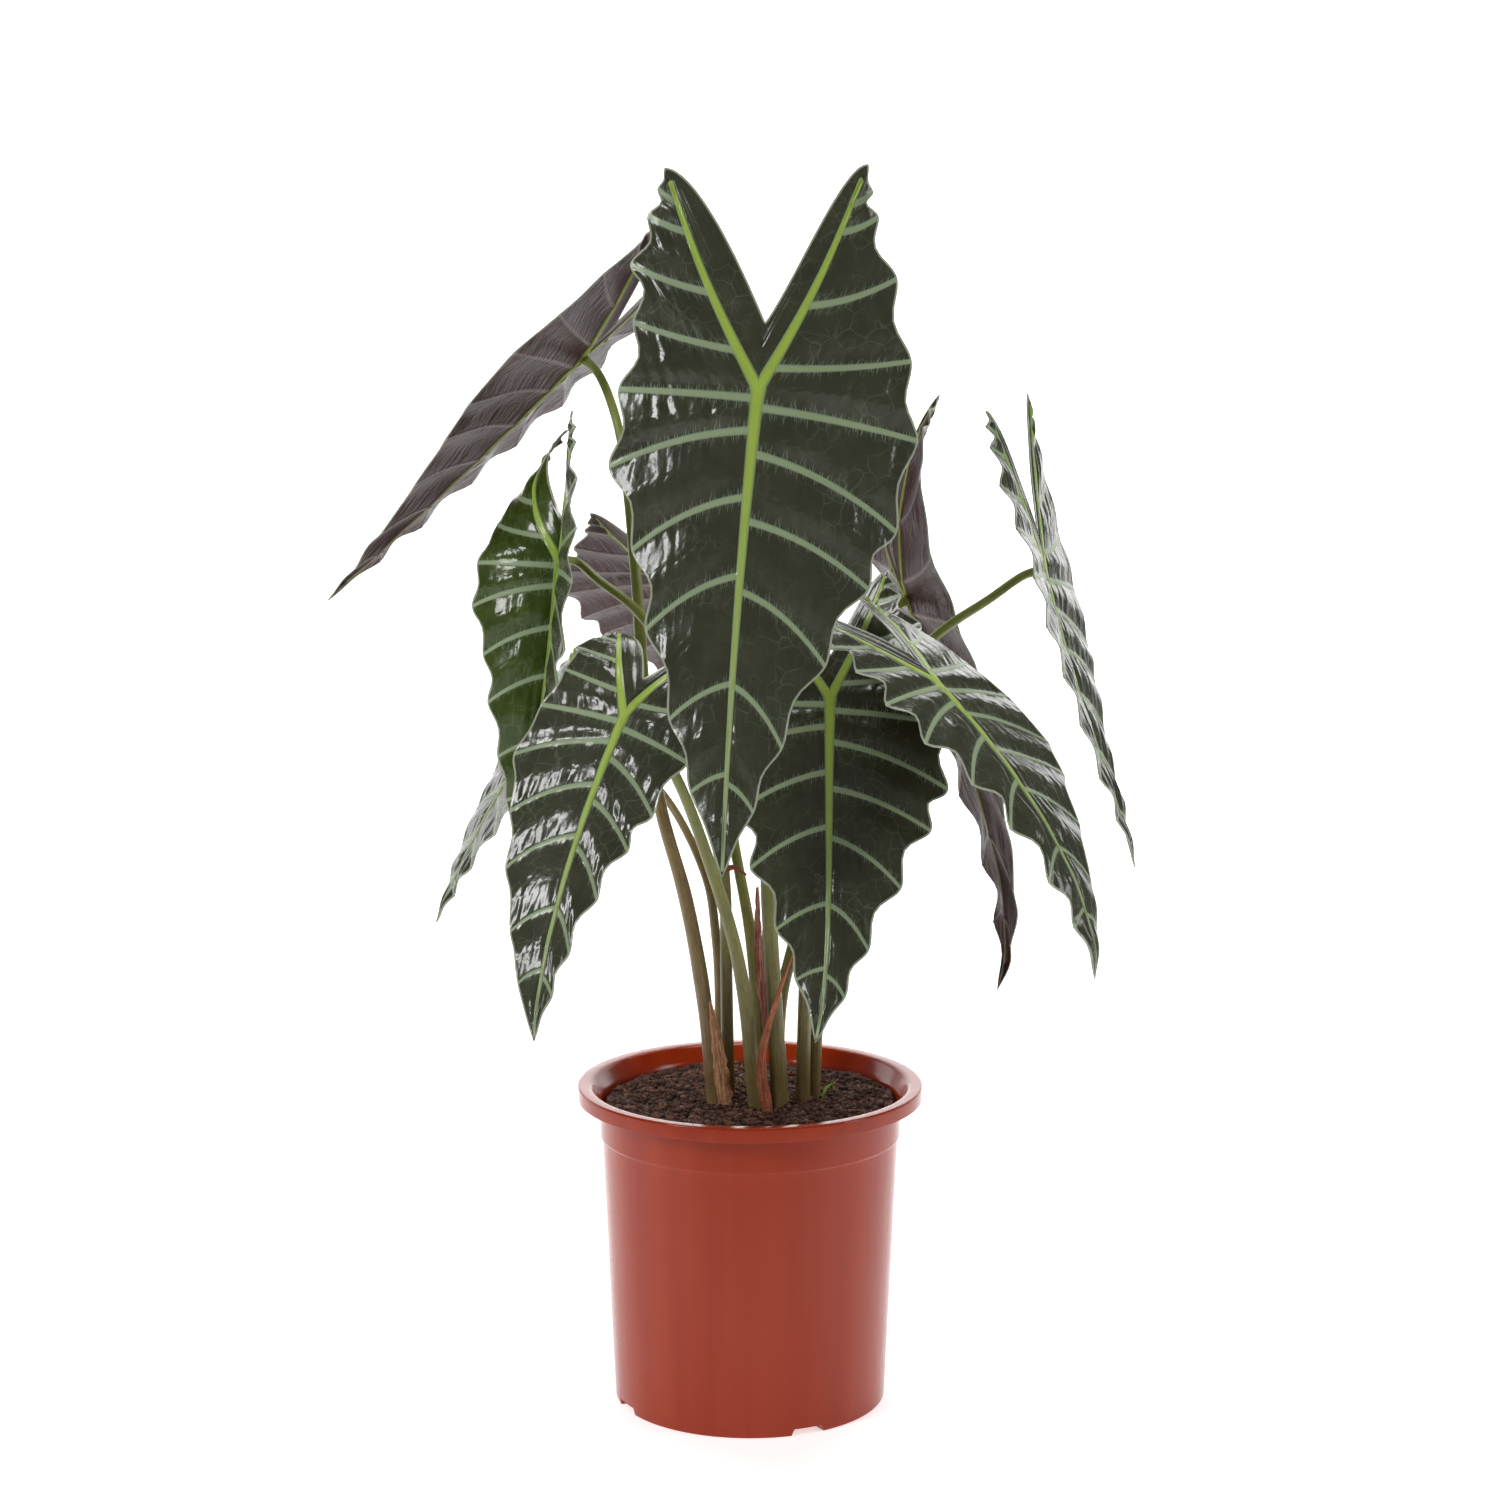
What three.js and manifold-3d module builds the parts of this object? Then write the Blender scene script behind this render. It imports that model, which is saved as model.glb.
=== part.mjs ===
// Potted alocasia: ten arrow-shaped leaves on their own stalks, rooted in peat in a moulded nursery pot.
// Millimetres, +Z up. The origin is the centre of the pot's underside, and the plant's front faces -Y.
// Leaf and stalk points are measured from the middle of the soil's surface, so the plant follows the pot.

import * as THREE from "three";
import { mergeVertices } from "three/addons/utils/BufferGeometryUtils.js";
import Module from "manifold-3d";

const wasm = await Module();
wasm.setup();

// ---------------------------------------------------------------- driving dimensions

const clearance = 0.3;

const pot = {
  height: 178,
  rimDiameter: 190,
  lipWidth: 7,
  lipHeight: 8,
  collarDiameter: 166,
  collarHeight: 20,
  collarStep: 1.2,
  baseDiameter: 150,
  wall: 1.8,
  floor: 2.2,
  segments: 56,
};

const foot = {
  padRadius: 28,
  ringWidth: 8,
  lift: 4,
  notches: 4,
  notchWidth: 17,
  notchHeight: 3.8,
  notchTurn: -65,
};

const drain = { count: 8, diameter: 10, circleRadius: 48 };

const soil = { belowRim: 8, mound: 4, segments: 40 };

const blade = { thickness: 1.2, columns: 2, rowsPerVein: 2 };

const stalk = { rootDepth: 18, sides: 8, stepsPerSpan: 2, elbow: 12 };

const soilLevel = pot.height - soil.belowRim;

// ---------------------------------------------------------------- small helpers

const radians = THREE.MathUtils.degToRad;
const mix = THREE.MathUtils.lerp;
const clamp = THREE.MathUtils.clamp;
const vector = (coordinates) => new THREE.Vector3(...coordinates);

function finish(colour, roughness) {
  return new THREE.MeshStandardMaterial({ color: colour, roughness, metalness: 0 });
}

// One indexed shell with only positions, its faces turned outwards.
function weld(geometry) {
  geometry.deleteAttribute("normal");
  geometry.deleteAttribute("uv");
  const shell = mergeVertices(geometry, 1e-4);
  const place = shell.attributes.position;
  const corners = [new THREE.Vector3(), new THREE.Vector3(), new THREE.Vector3()];
  const kept = [];
  let volume = 0;
  for (let i = 0; i < shell.index.count; i += 3) {
    const face = [0, 1, 2].map((k) => shell.index.getX(i + k));
    if (new Set(face).size < 3) continue;
    face.forEach((at, k) => corners[k].fromBufferAttribute(place, at));
    volume += corners[0].dot(corners[1].clone().cross(corners[2]));
    kept.push(face);
  }
  shell.setIndex(kept.flatMap((face) => (volume < 0 ? [face[0], face[2], face[1]] : face)));
  return shell;
}

function toSolid(geometry) {
  const shell = weld(geometry);
  const mesh = new wasm.Mesh({
    numProp: 3,
    vertProperties: new Float32Array(shell.attributes.position.array),
    triVerts: new Uint32Array(shell.index.array),
  });
  mesh.merge();
  return new wasm.Manifold(mesh);
}

function toGeometry(solid) {
  const mesh = solid.getMesh();
  const geometry = new THREE.BufferGeometry();
  geometry.setAttribute("position", new THREE.BufferAttribute(mesh.vertProperties, 3));
  geometry.setIndex(new THREE.BufferAttribute(mesh.triVerts, 1));
  return geometry;
}

function cutAway(solid, tools) {
  return tools.reduce((rest, tool) => rest.subtract(tool), solid);
}

// A profile of [radius, height] points, from axis to axis, turned about Z.
function turned(profile, segments) {
  const points = profile.map(([radius, height]) => new THREE.Vector2(radius, height));
  return new THREE.LatheGeometry(points, segments).rotateX(Math.PI / 2);
}

function named(name, geometry, material) {
  const mesh = new THREE.Mesh(geometry, material);
  mesh.name = name;
  return mesh;
}

// ---------------------------------------------------------------- pot

const collarRadius = pot.collarDiameter / 2;
const shoulderRadius = collarRadius - pot.collarStep;
const collarTop = pot.height - pot.lipHeight;
const collarBottom = collarTop - pot.collarHeight;
const baseRadius = pot.baseDiameter / 2;

// Outer radius of the tapering wall below the collar.
function wallRadius(height) {
  return mix(baseRadius, shoulderRadius, clamp(height / collarBottom, 0, 1));
}

function potProfile() {
  const rim = pot.rimDiameter / 2;
  const throat = rim - pot.lipWidth;
  const floorTop = foot.lift + pot.floor;
  const ringInner = baseRadius - foot.ringWidth;
  const slope = foot.lift / 2;
  const edge = 1;
  return [
    [0, 0],
    [foot.padRadius, 0],
    [foot.padRadius + slope, foot.lift],
    [ringInner - slope, foot.lift],
    [ringInner, 0],
    [baseRadius - edge, 0],
    [wallRadius(edge), edge],
    [shoulderRadius, collarBottom - edge],
    [collarRadius, collarBottom],
    [collarRadius, collarTop],
    [throat + pot.wall * 0.7, pot.height - pot.wall],
    [rim - pot.wall, pot.height - pot.wall],
    [rim - pot.wall, collarTop],
    [rim, collarTop],
    [rim, pot.height - edge],
    [rim - edge, pot.height],
    [throat, pot.height],
    [collarRadius - pot.wall, collarTop - edge],
    [shoulderRadius - pot.wall, collarBottom - 2 * edge],
    [wallRadius(floorTop) - pot.wall, floorTop],
    [0, floorTop],
  ];
}

// Drain holes open into the raised channel, and the notches lead it out under the wall.
function potSolid() {
  const tools = [];
  const drill = { length: 20, sides: 12 };
  for (let i = 0; i < drain.count; i++) {
    const hole = new THREE.CylinderGeometry(drain.diameter / 2, drain.diameter / 2, drill.length, drill.sides);
    hole.rotateX(Math.PI / 2).translate(drain.circleRadius, 0, foot.lift);
    hole.rotateZ((2 * Math.PI * i) / drain.count);
    tools.push(toSolid(hole));
  }
  const reach = 2 * foot.ringWidth + 4;
  for (let i = 0; i < foot.notches; i++) {
    const notch = new THREE.BoxGeometry(reach, foot.notchWidth, 2 * foot.notchHeight);
    notch.translate(baseRadius, 0, 0);
    notch.rotateZ(radians(foot.notchTurn + (360 * i) / foot.notches));
    tools.push(toSolid(notch));
  }
  return cutAway(toSolid(turned(potProfile(), pot.segments)), tools);
}

// ---------------------------------------------------------------- ribbons and stalks

// A tapering oval bar along a smooth path. `widths` and `depths` are spread evenly along it, `facing` is
// the side its depth starts towards, and `turn` twists it, in degrees from end to end.
function bar({ path, widths, depths = widths, facing = [0, -1, 0], turn = 0, sides = stalk.sides, grow = 0 }) {
  const curve = new THREE.CatmullRomCurve3(path.map(vector), false, "centripetal");
  const steps = (path.length - 1) * stalk.stepsPerSpan;
  const spread = (values, f) => {
    const at = f * (values.length - 1);
    const low = Math.min(Math.floor(at), values.length - 2);
    return mix(values[low], values[low + 1], at - low);
  };
  const places = [];
  const index = [];
  const facingNow = vector(facing);
  for (let i = 0; i <= steps; i++) {
    const f = i / steps;
    const centre = curve.getPoint(f);
    const forward = curve.getTangent(f);
    facingNow.addScaledVector(forward, -facingNow.dot(forward)).normalize();
    const depthWay = facingNow.clone().applyAxisAngle(forward, radians(turn * f));
    const widthWay = depthWay.clone().cross(forward);
    if (i === 0) centre.addScaledVector(forward, -grow);
    for (let k = 0; k < sides; k++) {
      const angle = (2 * Math.PI * (k + 0.5)) / sides;
      const point = centre.clone();
      point.addScaledVector(widthWay, (spread(widths, f) / 2 + grow) * Math.cos(angle));
      point.addScaledVector(depthWay, (spread(depths, f) / 2 + grow) * Math.sin(angle));
      places.push(...point);
    }
  }
  for (let i = 0; i < steps; i++) {
    for (let k = 0; k < sides; k++) {
      const a = i * sides + k;
      const b = i * sides + ((k + 1) % sides);
      index.push(a, b, b + sides, a, b + sides, a + sides);
    }
  }
  for (let k = 1; k < sides - 1; k++) {
    const last = steps * sides;
    index.push(0, k + 1, k, last, last + k, last + k + 1);
  }
  const geometry = new THREE.BufferGeometry();
  geometry.setAttribute("position", new THREE.Float32BufferAttribute(places, 3));
  geometry.setIndex(index);
  return geometry;
}

// ---------------------------------------------------------------- leaf blades

// Half a blade in blade lengths, from the junction (0) to the tip (1). Each row is a side vein: where it
// leaves the rib (-1 lobe end .. 0 junction .. 1 tip), then how far forward and how far out it ends.
const leftVeins = [
  [-1.0, -0.432, 0.24], [-0.9, -0.39, 0.252], [-0.754, -0.333, 0.267], [-0.458, -0.228, 0.292],
  [-0.18, -0.11, 0.275], [0.02, 0.03, 0.29], [0.086, 0.186, 0.294], [0.224, 0.348, 0.23],
  [0.387, 0.507, 0.188], [0.612, 0.685, 0.126], [0.8, 0.83, 0.074], [1.0, 1.0, 0.0],
];
const rightVeins = [
  [-1.0, -0.483, 0.176], [-0.88, -0.43, 0.193], [-0.748, -0.38, 0.21], [-0.396, -0.259, 0.264],
  [-0.1, -0.094, 0.316], [0.038, 0.07, 0.348], [0.133, 0.264, 0.322], [0.273, 0.388, 0.272],
  [0.419, 0.555, 0.192], [0.616, 0.73, 0.112], [0.82, 0.865, 0.06], [1.0, 1.0, 0.0],
];
const notchDepth = 0.136;
const lobeSpan = 0.46;
const halfWidth = 0.31;
const lobeBow = 0.014;
const ribEnd = { lobe: 0.93, tip: 0.985 };

const plainBlade = {
  width: 1, leftWidth: 1, rightWidth: 1, leftFull: 0, rightFull: 0, lobe: 1, scallop: 0.024, swapped: false,
  bend: 0, tipBend: 0, back: 0, sweep: 0, tipSweep: 0,
  leftFold: 0, rightFold: 0, leftCurl: 0, rightCurl: 0, leftLobeFold: 0,
};

// The vein ends of one half, made wider, fuller in the middle or longer in the lobe.
function veinEnds(leaf, side) {
  const rows = (side < 0) === leaf.swapped ? rightVeins : leftVeins;
  const width = side < 0 ? leaf.leftWidth : leaf.rightWidth;
  const full = side < 0 ? leaf.leftFull : leaf.rightFull;
  return rows.map(([root, ahead, out]) => {
    const s = clamp(ahead, 0, 1);
    return [root, ahead < 0 ? ahead * leaf.lobe : ahead, out * width * (1 + full * 4 * s * (1 - s))];
  });
}

// Catmull-Rom curve through the vein ends, at vein number q.
function throughEnds(rows, q) {
  const last = rows.length - 1;
  const k = Math.min(Math.floor(q), last - 1);
  const f = q - k;
  const end = (i, axis) => {
    if (i < 0) return 2 * rows[0][axis] - rows[1][axis];
    if (i > last) return 2 * rows[last][axis] - rows[last - 1][axis];
    return rows[i][axis];
  };
  return [1, 2].map((axis) => {
    const [a, b, c, d] = [k - 1, k, k + 1, k + 2].map((i) => end(i, axis));
    return 0.5 * (2 * b + (c - a) * f + (2 * a - 5 * b + 4 * c - d) * f * f + (3 * b - a - 3 * c + d) * f ** 3);
  });
}

// The margin dips between two vein ends by the scallop's depth.
function marginAt(rows, q, scallop) {
  const last = rows.length - 1;
  const [s, t] = throughEnds(rows, q);
  const ahead = throughEnds(rows, Math.min(q + 0.001, last));
  const behind = throughEnds(rows, Math.max(q - 0.001, 0));
  const along = new THREE.Vector2(ahead[0] - behind[0], ahead[1] - behind[1]).normalize();
  const fade = clamp(Math.min(0.25 + 0.45 * (q - 0.5), (last - q) / 3), 0, 1);
  const dip = (scallop * fade * (1 - Math.cos(2 * Math.PI * q))) / 2;
  return [s + along.y * dip, t - along.x * dip];
}

// The rib: the lobe's own rib for a root below 0, the midrib above it.
function ribAt(rows, root) {
  if (root >= 0) return [root * ribEnd.tip, 0];
  const f = -root;
  return [rows[0][1] * ribEnd.lobe * f, rows[0][2] * ribEnd.lobe * f + lobeBow * Math.sin(Math.PI * f)];
}

// The edge of the notch between the lobes, a cubic curve from its bottom out to the lobe's end.
function notchEdgeAt(rows, f) {
  const [, endS, endT] = rows[0];
  const curve = new THREE.CubicBezierCurve(
    new THREE.Vector2(-notchDepth, 0),
    new THREE.Vector2(-notchDepth - 0.1, 0.055),
    new THREE.Vector2(endS - 0.005, endT * 0.72),
    new THREE.Vector2(endS, endT),
  );
  return curve.getPoint(f).toArray();
}

// The vein number, whole or between two veins, of a root on the rib.
function veinNumber(rows, root) {
  const low = clamp(rows.findIndex(([start]) => start > root), 1, rows.length - 1) - 1;
  return root >= 1 ? rows.length - 1 : low + (root - rows[low][0]) / (rows[low + 1][0] - rows[low][0]);
}

// Roots of all the veins of one half, and of the places between them.
function stations(rows) {
  const count = (rows.length - 1) * blade.rowsPerVein;
  return Array.from({ length: count + 1 }, (_, i) => {
    const q = i / blade.rowsPerVein;
    const low = Math.min(Math.floor(q), rows.length - 2);
    return mix(rows[low][0], rows[low + 1][0], q - low);
  });
}

// Rows of flat points from the rib to the edge, round half a blade from the notch to the tip. The same
// roots serve both sides of the lobe's rib, and both halves along the midrib, so they meet point for point.
function flatRows(leaf, side) {
  const rows = veinEnds(leaf, side);
  const shares = Array.from({ length: blade.columns + 1 }, (_, j) => j / blade.columns);
  const rightStations = stations(rightVeins);
  const midway = stations(leftVeins).map((root, i) => (root + rightStations[i]) / 2);
  const roots = [...stations(rows).filter((root) => root < 0), 0, ...midway.filter((root) => root > 0)];
  const inner = roots.filter((root) => root <= 0).reverse().map((root) => {
    const from = ribAt(rows, root);
    const to = notchEdgeAt(rows, -root);
    return shares.map((v) => [mix(from[0], to[0], v), mix(from[1], to[1], v)]);
  });
  const outer = roots.filter((root) => root > -1).map((root) => {
    const from = ribAt(rows, root);
    const to = marginAt(rows, veinNumber(rows, root), leaf.scallop);
    const knee = [mix(from[0], to[0], 0.18), mix(from[1], to[1], 0.5)];
    return shares.map((v) => [0, 1].map((axis) =>
      (1 - v) ** 2 * from[axis] + 2 * (1 - v) * v * knee[axis] + v * v * to[axis]));
  });
  return [...inner, ...outer];
}

// The way the midrib heads at s, in the leaf's own axes: across, along and out of the upper side.
function headingAt(leaf, s) {
  const f = clamp(s, 0, 1);
  const g = clamp(-s, 0, 1) / lobeSpan;
  const droop = radians(leaf.bend * f + leaf.tipBend * f ** 4 + leaf.back * g);
  const swing = radians(leaf.sweep * f + leaf.tipSweep * f ** 4);
  const forward = new THREE.Vector3(
    Math.sin(swing) * Math.cos(droop), Math.cos(swing) * Math.cos(droop), -Math.sin(droop));
  const across = new THREE.Vector3(Math.cos(swing), -Math.sin(swing), 0);
  return { forward, across, up: across.clone().cross(forward) };
}

// The leaf's own axes in the plant's frame.
function leafAxes(leaf) {
  const along = vector(leaf.along).normalize();
  const out = vector(leaf.facing);
  out.addScaledVector(along, -out.dot(along)).normalize();
  return new THREE.Matrix4().makeBasis(out.clone().cross(along), along, out);
}

// A flat point (s, t) bent into place: along the drooping midrib, then out along a folded, curled arc.
function onBlade(leaf, axes, side, s, t) {
  const integralSteps = 24;
  const point = new THREE.Vector3();
  for (let i = 0; i < integralSteps; i++) {
    point.addScaledVector(headingAt(leaf, (s * (i + 0.5)) / integralSteps).forward, s / integralSteps);
  }
  const { across, up } = headingAt(leaf, s);
  const normal = up.clone();
  const reach = t * leaf.width;
  if (reach > 1e-9) {
    const lobeShare = clamp(-s, 0, 1) / lobeSpan;
    const fold = radians(side < 0 ? leaf.leftFold + leaf.leftLobeFold * lobeShare : leaf.rightFold);
    const curl = radians(side < 0 ? leaf.leftCurl : leaf.rightCurl) / halfWidth || 1e-6;
    const lean = fold + curl * reach;
    point.addScaledVector(across, (side * (Math.sin(lean) - Math.sin(fold))) / curl);
    point.addScaledVector(up, (Math.cos(fold) - Math.cos(lean)) / curl);
    normal.multiplyScalar(Math.cos(lean)).addScaledVector(across, -side * Math.sin(lean));
  }
  point.multiplyScalar(leaf.length).applyMatrix4(axes).add(vector(leaf.junction));
  return { point, normal: normal.applyMatrix4(axes) };
}

// Two bent sheets, a blade's thickness apart, joined round the margin.
function bladeGeometry(leaf) {
  const axes = leafAxes(leaf);
  const places = [];
  const index = [];
  const across = blade.columns + 1;
  for (const side of [-1, 1]) {
    const grid = flatRows(leaf, side);
    const first = places.length / 3;
    for (const [s, t] of grid.flat()) {
      const { point, normal } = onBlade(leaf, axes, side, s, t);
      places.push(...point.clone().addScaledVector(normal, blade.thickness / 2));
      places.push(...point.addScaledVector(normal, -blade.thickness / 2));
    }
    const upper = (i, j) => first + 2 * (i * across + j);
    const quad = (a, b, c, d) => {
      if (side > 0) index.push(a, b, c, a, c, d);
      else index.push(a, c, b, a, d, c);
    };
    for (let i = 0; i < grid.length - 1; i++) {
      for (let j = 0; j < blade.columns; j++) {
        const [a, b, c, d] = [upper(i, j), upper(i, j + 1), upper(i + 1, j + 1), upper(i + 1, j)];
        quad(a, b, c, d);
        quad(d + 1, c + 1, b + 1, a + 1);
      }
      const [a, b] = [upper(i, blade.columns), upper(i + 1, blade.columns)];
      quad(b, a, a + 1, b + 1);
    }
  }
  const geometry = new THREE.BufferGeometry();
  geometry.setAttribute("position", new THREE.Float32BufferAttribute(places, 3));
  geometry.setIndex(index);
  return weld(geometry);
}

// The stalk's route: its own points, then square on to the blade's underside at the junction.
function stalkPath(leaf) {
  const out = new THREE.Vector3().setFromMatrixColumn(leafAxes(leaf), 2);
  const tipRadius = leaf.stalkWidths.at(-1) / 2;
  const dropped = Math.max(0, -leaf.leftFold, -leaf.rightFold);
  const standOff = blade.thickness / 2 + clearance + tipRadius * Math.tan(radians(dropped + 2));
  const backFrom = (distance) => vector(leaf.junction).addScaledVector(out, -distance).toArray();
  const [x, y] = leaf.root;
  return [[x, y, -stalk.rootDepth], ...leaf.stalkPoints, backFrom(stalk.elbow), backFrom(standOff)];
}

// ---------------------------------------------------------------- the ten leaves

// `junction` is where stalk and blade meet, `along` the way the midrib sets off, `facing` the upper side's
// way. Angles are in degrees: a positive bend droops, a positive fold lifts a half towards its upper side.
const leaves = [
  {
    name: "front_tall", length: 246, junction: [4, -110, 395], along: [-0.11, -0.08, -1], facing: [0, -1, 0],
    scallop: 0.03, bend: -8, back: -8, sweep: 4, leftFold: -2, rightFold: -2, leftCurl: -14, rightCurl: -14,
    root: [18, -12], stalkWidths: [9.6, 8.6, 7.2, 6, 5], stalkPoints: [[14, -13, 43], [10, -15, 119],
    [7, -12, 227], [5, 16, 296], [5, 10, 342], [5, -42, 386]],
  },
  {
    name: "left_high", length: 200, junction: [-92, 54, 403], along: [-0.65, 0.12, -0.64],
    facing: [-0.71, -0.08, 0.74], width: 0.88, scallop: 0.03, bend: -3, back: 12, sweep: 4, leftFold: -14,
    rightFold: 30, rightCurl: 5, root: [-18, -8], stalkWidths: [9, 8, 6.8, 6, 4.6],
    stalkPoints: [[-25, -8, 55], [-35, -6, 112], [-49, -2, 164], [-57, 6, 220], [-61, 15, 274],
    [-66, 28, 327], [-72, 40, 366]],
  },
  {
    name: "left_middle", length: 165, junction: [-103, 4, 297], along: [-0.08, -0.15, -0.98],
    facing: [-0.72, -0.62, -0.05], width: 0.93, leftWidth: 1.08, scallop: 0.035, bend: 8, back: 5,
    sweep: -22, leftFold: 58, rightFold: 30, leftCurl: -48, leftLobeFold: -84, root: [-12, 3],
    stalkWidths: [7.6, 7, 6.2, 5.4, 4.6], stalkPoints: [[-13, 4, 70], [-14, 5, 120], [-22, 4, 188],
    [-43, 0, 243], [-61, -1, 270], [-82, 5, 286]],
  },
  {
    name: "left_front", length: 178, junction: [-65, -88, 226], along: [-0.36, -0.37, -0.8],
    facing: [-0.3, -0.97, 0.41], width: 0.9, leftWidth: 1.05, rightWidth: 0.77, leftFull: 0.13,
    rightFull: -0.2, back: -75, sweep: 14, tipSweep: 7, leftFold: -8, rightFold: -8, root: [5, -20],
    stalkWidths: [8.6, 7.8, 6.8, 6, 5], stalkPoints: [[-6, -24, 80], [-22, -36, 139], [-39, -54, 188],
    [-54, -70, 215]],
  },
  {
    name: "centre_front", length: 184, junction: [42, -53, 230], along: [-0.02, -0.43, -0.82],
    facing: [0.03, -1, 0.1], leftFull: 0.18, rightFull: 0.07, scallop: 0.04, bend: 7, back: -34, sweep: 3,
    tipSweep: -14, root: [29, -6], stalkWidths: [8, 7.4, 6.6, 5.8, 5], stalkPoints: [[30, -8, 57],
    [33, -11, 116], [38, -16, 176], [42, -28, 214]],
  },
  {
    name: "right_front", length: 180, junction: [96, -91, 244], along: [0.58, -0.5, -0.56],
    facing: [0.43, -0.62, 0.7], width: 0.86, leftFull: -0.17, rightFull: 0.19, scallop: 0.045, bend: 29,
    tipBend: 35, back: -15, leftFold: 7, rightFold: -18, root: [35, 6], stalkWidths: [7.6, 7, 6, 5.4, 4.6],
    stalkPoints: [[37, 4, 39], [46, -2, 112], [68, -8, 168], [94, -18, 200], [105, -38, 218],
    [104, -64, 232]],
  },
  {
    name: "right_far", length: 168, junction: [159, 1, 292], along: [0.22, -0.19, -0.97],
    facing: [0.92, -0.46, 0.25], width: 0.86, lobe: 1.2, bend: -11, tipBend: 14, back: 5, sweep: 8,
    leftFold: 15, rightFold: -6, leftLobeFold: -18, root: [14, 6], stalkWidths: [7.8, 7.2, 6.6, 6, 5.2, 4.8],
    stalkPoints: [[17, 8, 51], [22, 10, 75], [44, 15, 147], [71, 15, 213], [99, 10, 253], [130, 5, 276]],
  },
  {
    name: "right_back", length: 240, junction: [89, 86, 266], along: [0.37, 0.09, -0.92],
    facing: [0.76, 0.66, 0.15], width: 0.62, swapped: true, bend: 16, back: 62, sweep: -11, tipSweep: 47,
    leftFold: -15, rightFold: 24, root: [1, 14], stalkWidths: [7.8, 7, 6.2, 5.4, 4.6],
    stalkPoints: [[6, 18, 50], [17, 30, 133], [39, 48, 202], [62, 70, 248]],
  },
  {
    name: "back", length: 168, junction: [-48, 120, 274], along: [0.12, 0.83, -0.55], facing: [0, 0.35, 0.93],
    width: 1.05, bend: 6, root: [6, -5], stalkWidths: [7.4, 6.6, 5.8, 5.4, 4.6], stalkPoints: [[4, -4, 47],
    [0, 2, 92], [-8, 15, 135], [-16, 36, 180], [-28, 75, 232]],
  },
  {
    name: "left_low", length: 136, junction: [-112, 76, 203], along: [-0.53, -0.16, -0.72],
    facing: [-0.72, -0.27, 0.59], width: 0.95, lobe: 0.7, bend: 14, sweep: 3, root: [-19, 8],
    stalkWidths: [6, 5.6, 4.8, 4.4, 4], stalkPoints: [[-17, 12, 57], [-19, 12, 89], [-24, 12, 120],
    [-46, 26, 162], [-85, 66, 190]],
  },
].map((leaf) => ({ ...plainBlade, ...leaf }));

// ---------------------------------------------------------------- sheaths and seedling

// Papery old sheaths at the foot of the stalks, and the two green wings of the youngest stalk's sheath.
const sheaths = [
  {
    name: "dry_sheath_front", colour: 0xa9764a,
    path: [[-13, -15, -8], [-15, -16, 10], [-18, -15, 32], [-22, -14, 57]],
    widths: [8, 9, 7, 1.6], depths: [1, 1, 1, 0.8], facing: [-0.3, -1, 0],
  },
  {
    name: "dry_sheath_tall", colour: 0x7a4334,
    path: [[9, -23, 44], [7, -22, 62], [5, -21, 84], [4, -21, 122]],
    widths: [3, 5, 4.4, 1.6], depths: [1, 1, 1, 0.8], facing: [0.3, -1, 0],
  },
  {
    name: "dry_sheath_twisted", colour: 0x9c5f40,
    path: [[11, -27, -8], [7, -30, 20], [8, -28, 36], [15, -25, 60], [23, -22, 84]],
    widths: [6, 6, 4.4, 4, 1.6], depths: [1, 1, 1, 1, 0.8], facing: [0, -1, 0], turn: 70,
  },
  {
    name: "dry_sheath_scrap", colour: 0x8a4a3a,
    path: [[-14, 0.8, 127], [-9, -2, 129], [-2, -3, 125]],
    widths: [3, 3, 1.4], depths: [0.8, 0.8, 0.8], facing: [0, -1, 0],
  },
  {
    name: "green_wing_left", colour: 0xa8b04c,
    path: [[-21, 7.6, 118], [-25, 8.5, 138], [-31, 9, 156], [-38, 8, 173]],
    widths: [3, 4.4, 4, 1.4], depths: [0.8, 0.8, 0.8, 0.8], facing: [-0.5, -1, 0],
  },
  {
    name: "green_wing_right", colour: 0xa8b04c,
    path: [[-17, 1, 122], [-19, 0, 140], [-26, -1, 161]],
    widths: [3, 3.6, 1.4], depths: [0.8, 0.8, 0.8], facing: [0.3, -1, 0],
  },
];

const seedling = {
  path: [[40, -6, -8], [40, -6, 2], [42, -7, 7], [47, -8, 10]],
  widths: [1.8, 1.8, 6, 1.2], depths: [1.8, 1.6, 1, 0.8], facing: [-0.5, 0, 1],
};

// ---------------------------------------------------------------- soil

// The soil fills the pot with a clearance to its wall and floor, and stands a little proud in the middle.
function soilProfile() {
  const floorTop = foot.lift + pot.floor;
  const inner = (height) => wallRadius(height) - pot.wall - clearance;
  const edge = soilLevel - soil.mound;
  const top = Math.min(edge, collarBottom - 2);
  const profile = [[0, floorTop + clearance], [inner(floorTop), floorTop + clearance], [inner(top), top]];
  if (edge > top) profile.push([inner(top), edge]);
  profile.push([inner(top) * 0.6, soilLevel - soil.mound * 0.35], [0, soilLevel]);
  return profile;
}

// Every stalk and rooted sheath stands in a hole of its own shape, a clearance wider.
function soilSolid(rooted) {
  const wells = rooted.map((piece) => {
    const well = bar({ ...piece, grow: clearance });
    return toSolid(well.translate(0, 0, soilLevel));
  });
  return cutAway(toSolid(turned(soilProfile(), soil.segments)), wells);
}

// ---------------------------------------------------------------- the plant in its pot

const plastic = finish(0xa0432b, 0.35);
const peat = finish(0x33241d, 1);
const upperGreen = finish(0x27402a, 0.35);
const stalkGreen = finish(0x7f8a3f, 0.45);
const seedlingGreen = finish(0x7fa043, 0.5);

const rootedSheaths = sheaths.filter(({ path: [[, , low]] }) => low < 0);
const stalks = leaves.map((leaf) => ({
  name: `stalk_${leaf.name}`,
  path: stalkPath(leaf),
  widths: leaf.stalkWidths,
}));

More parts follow.
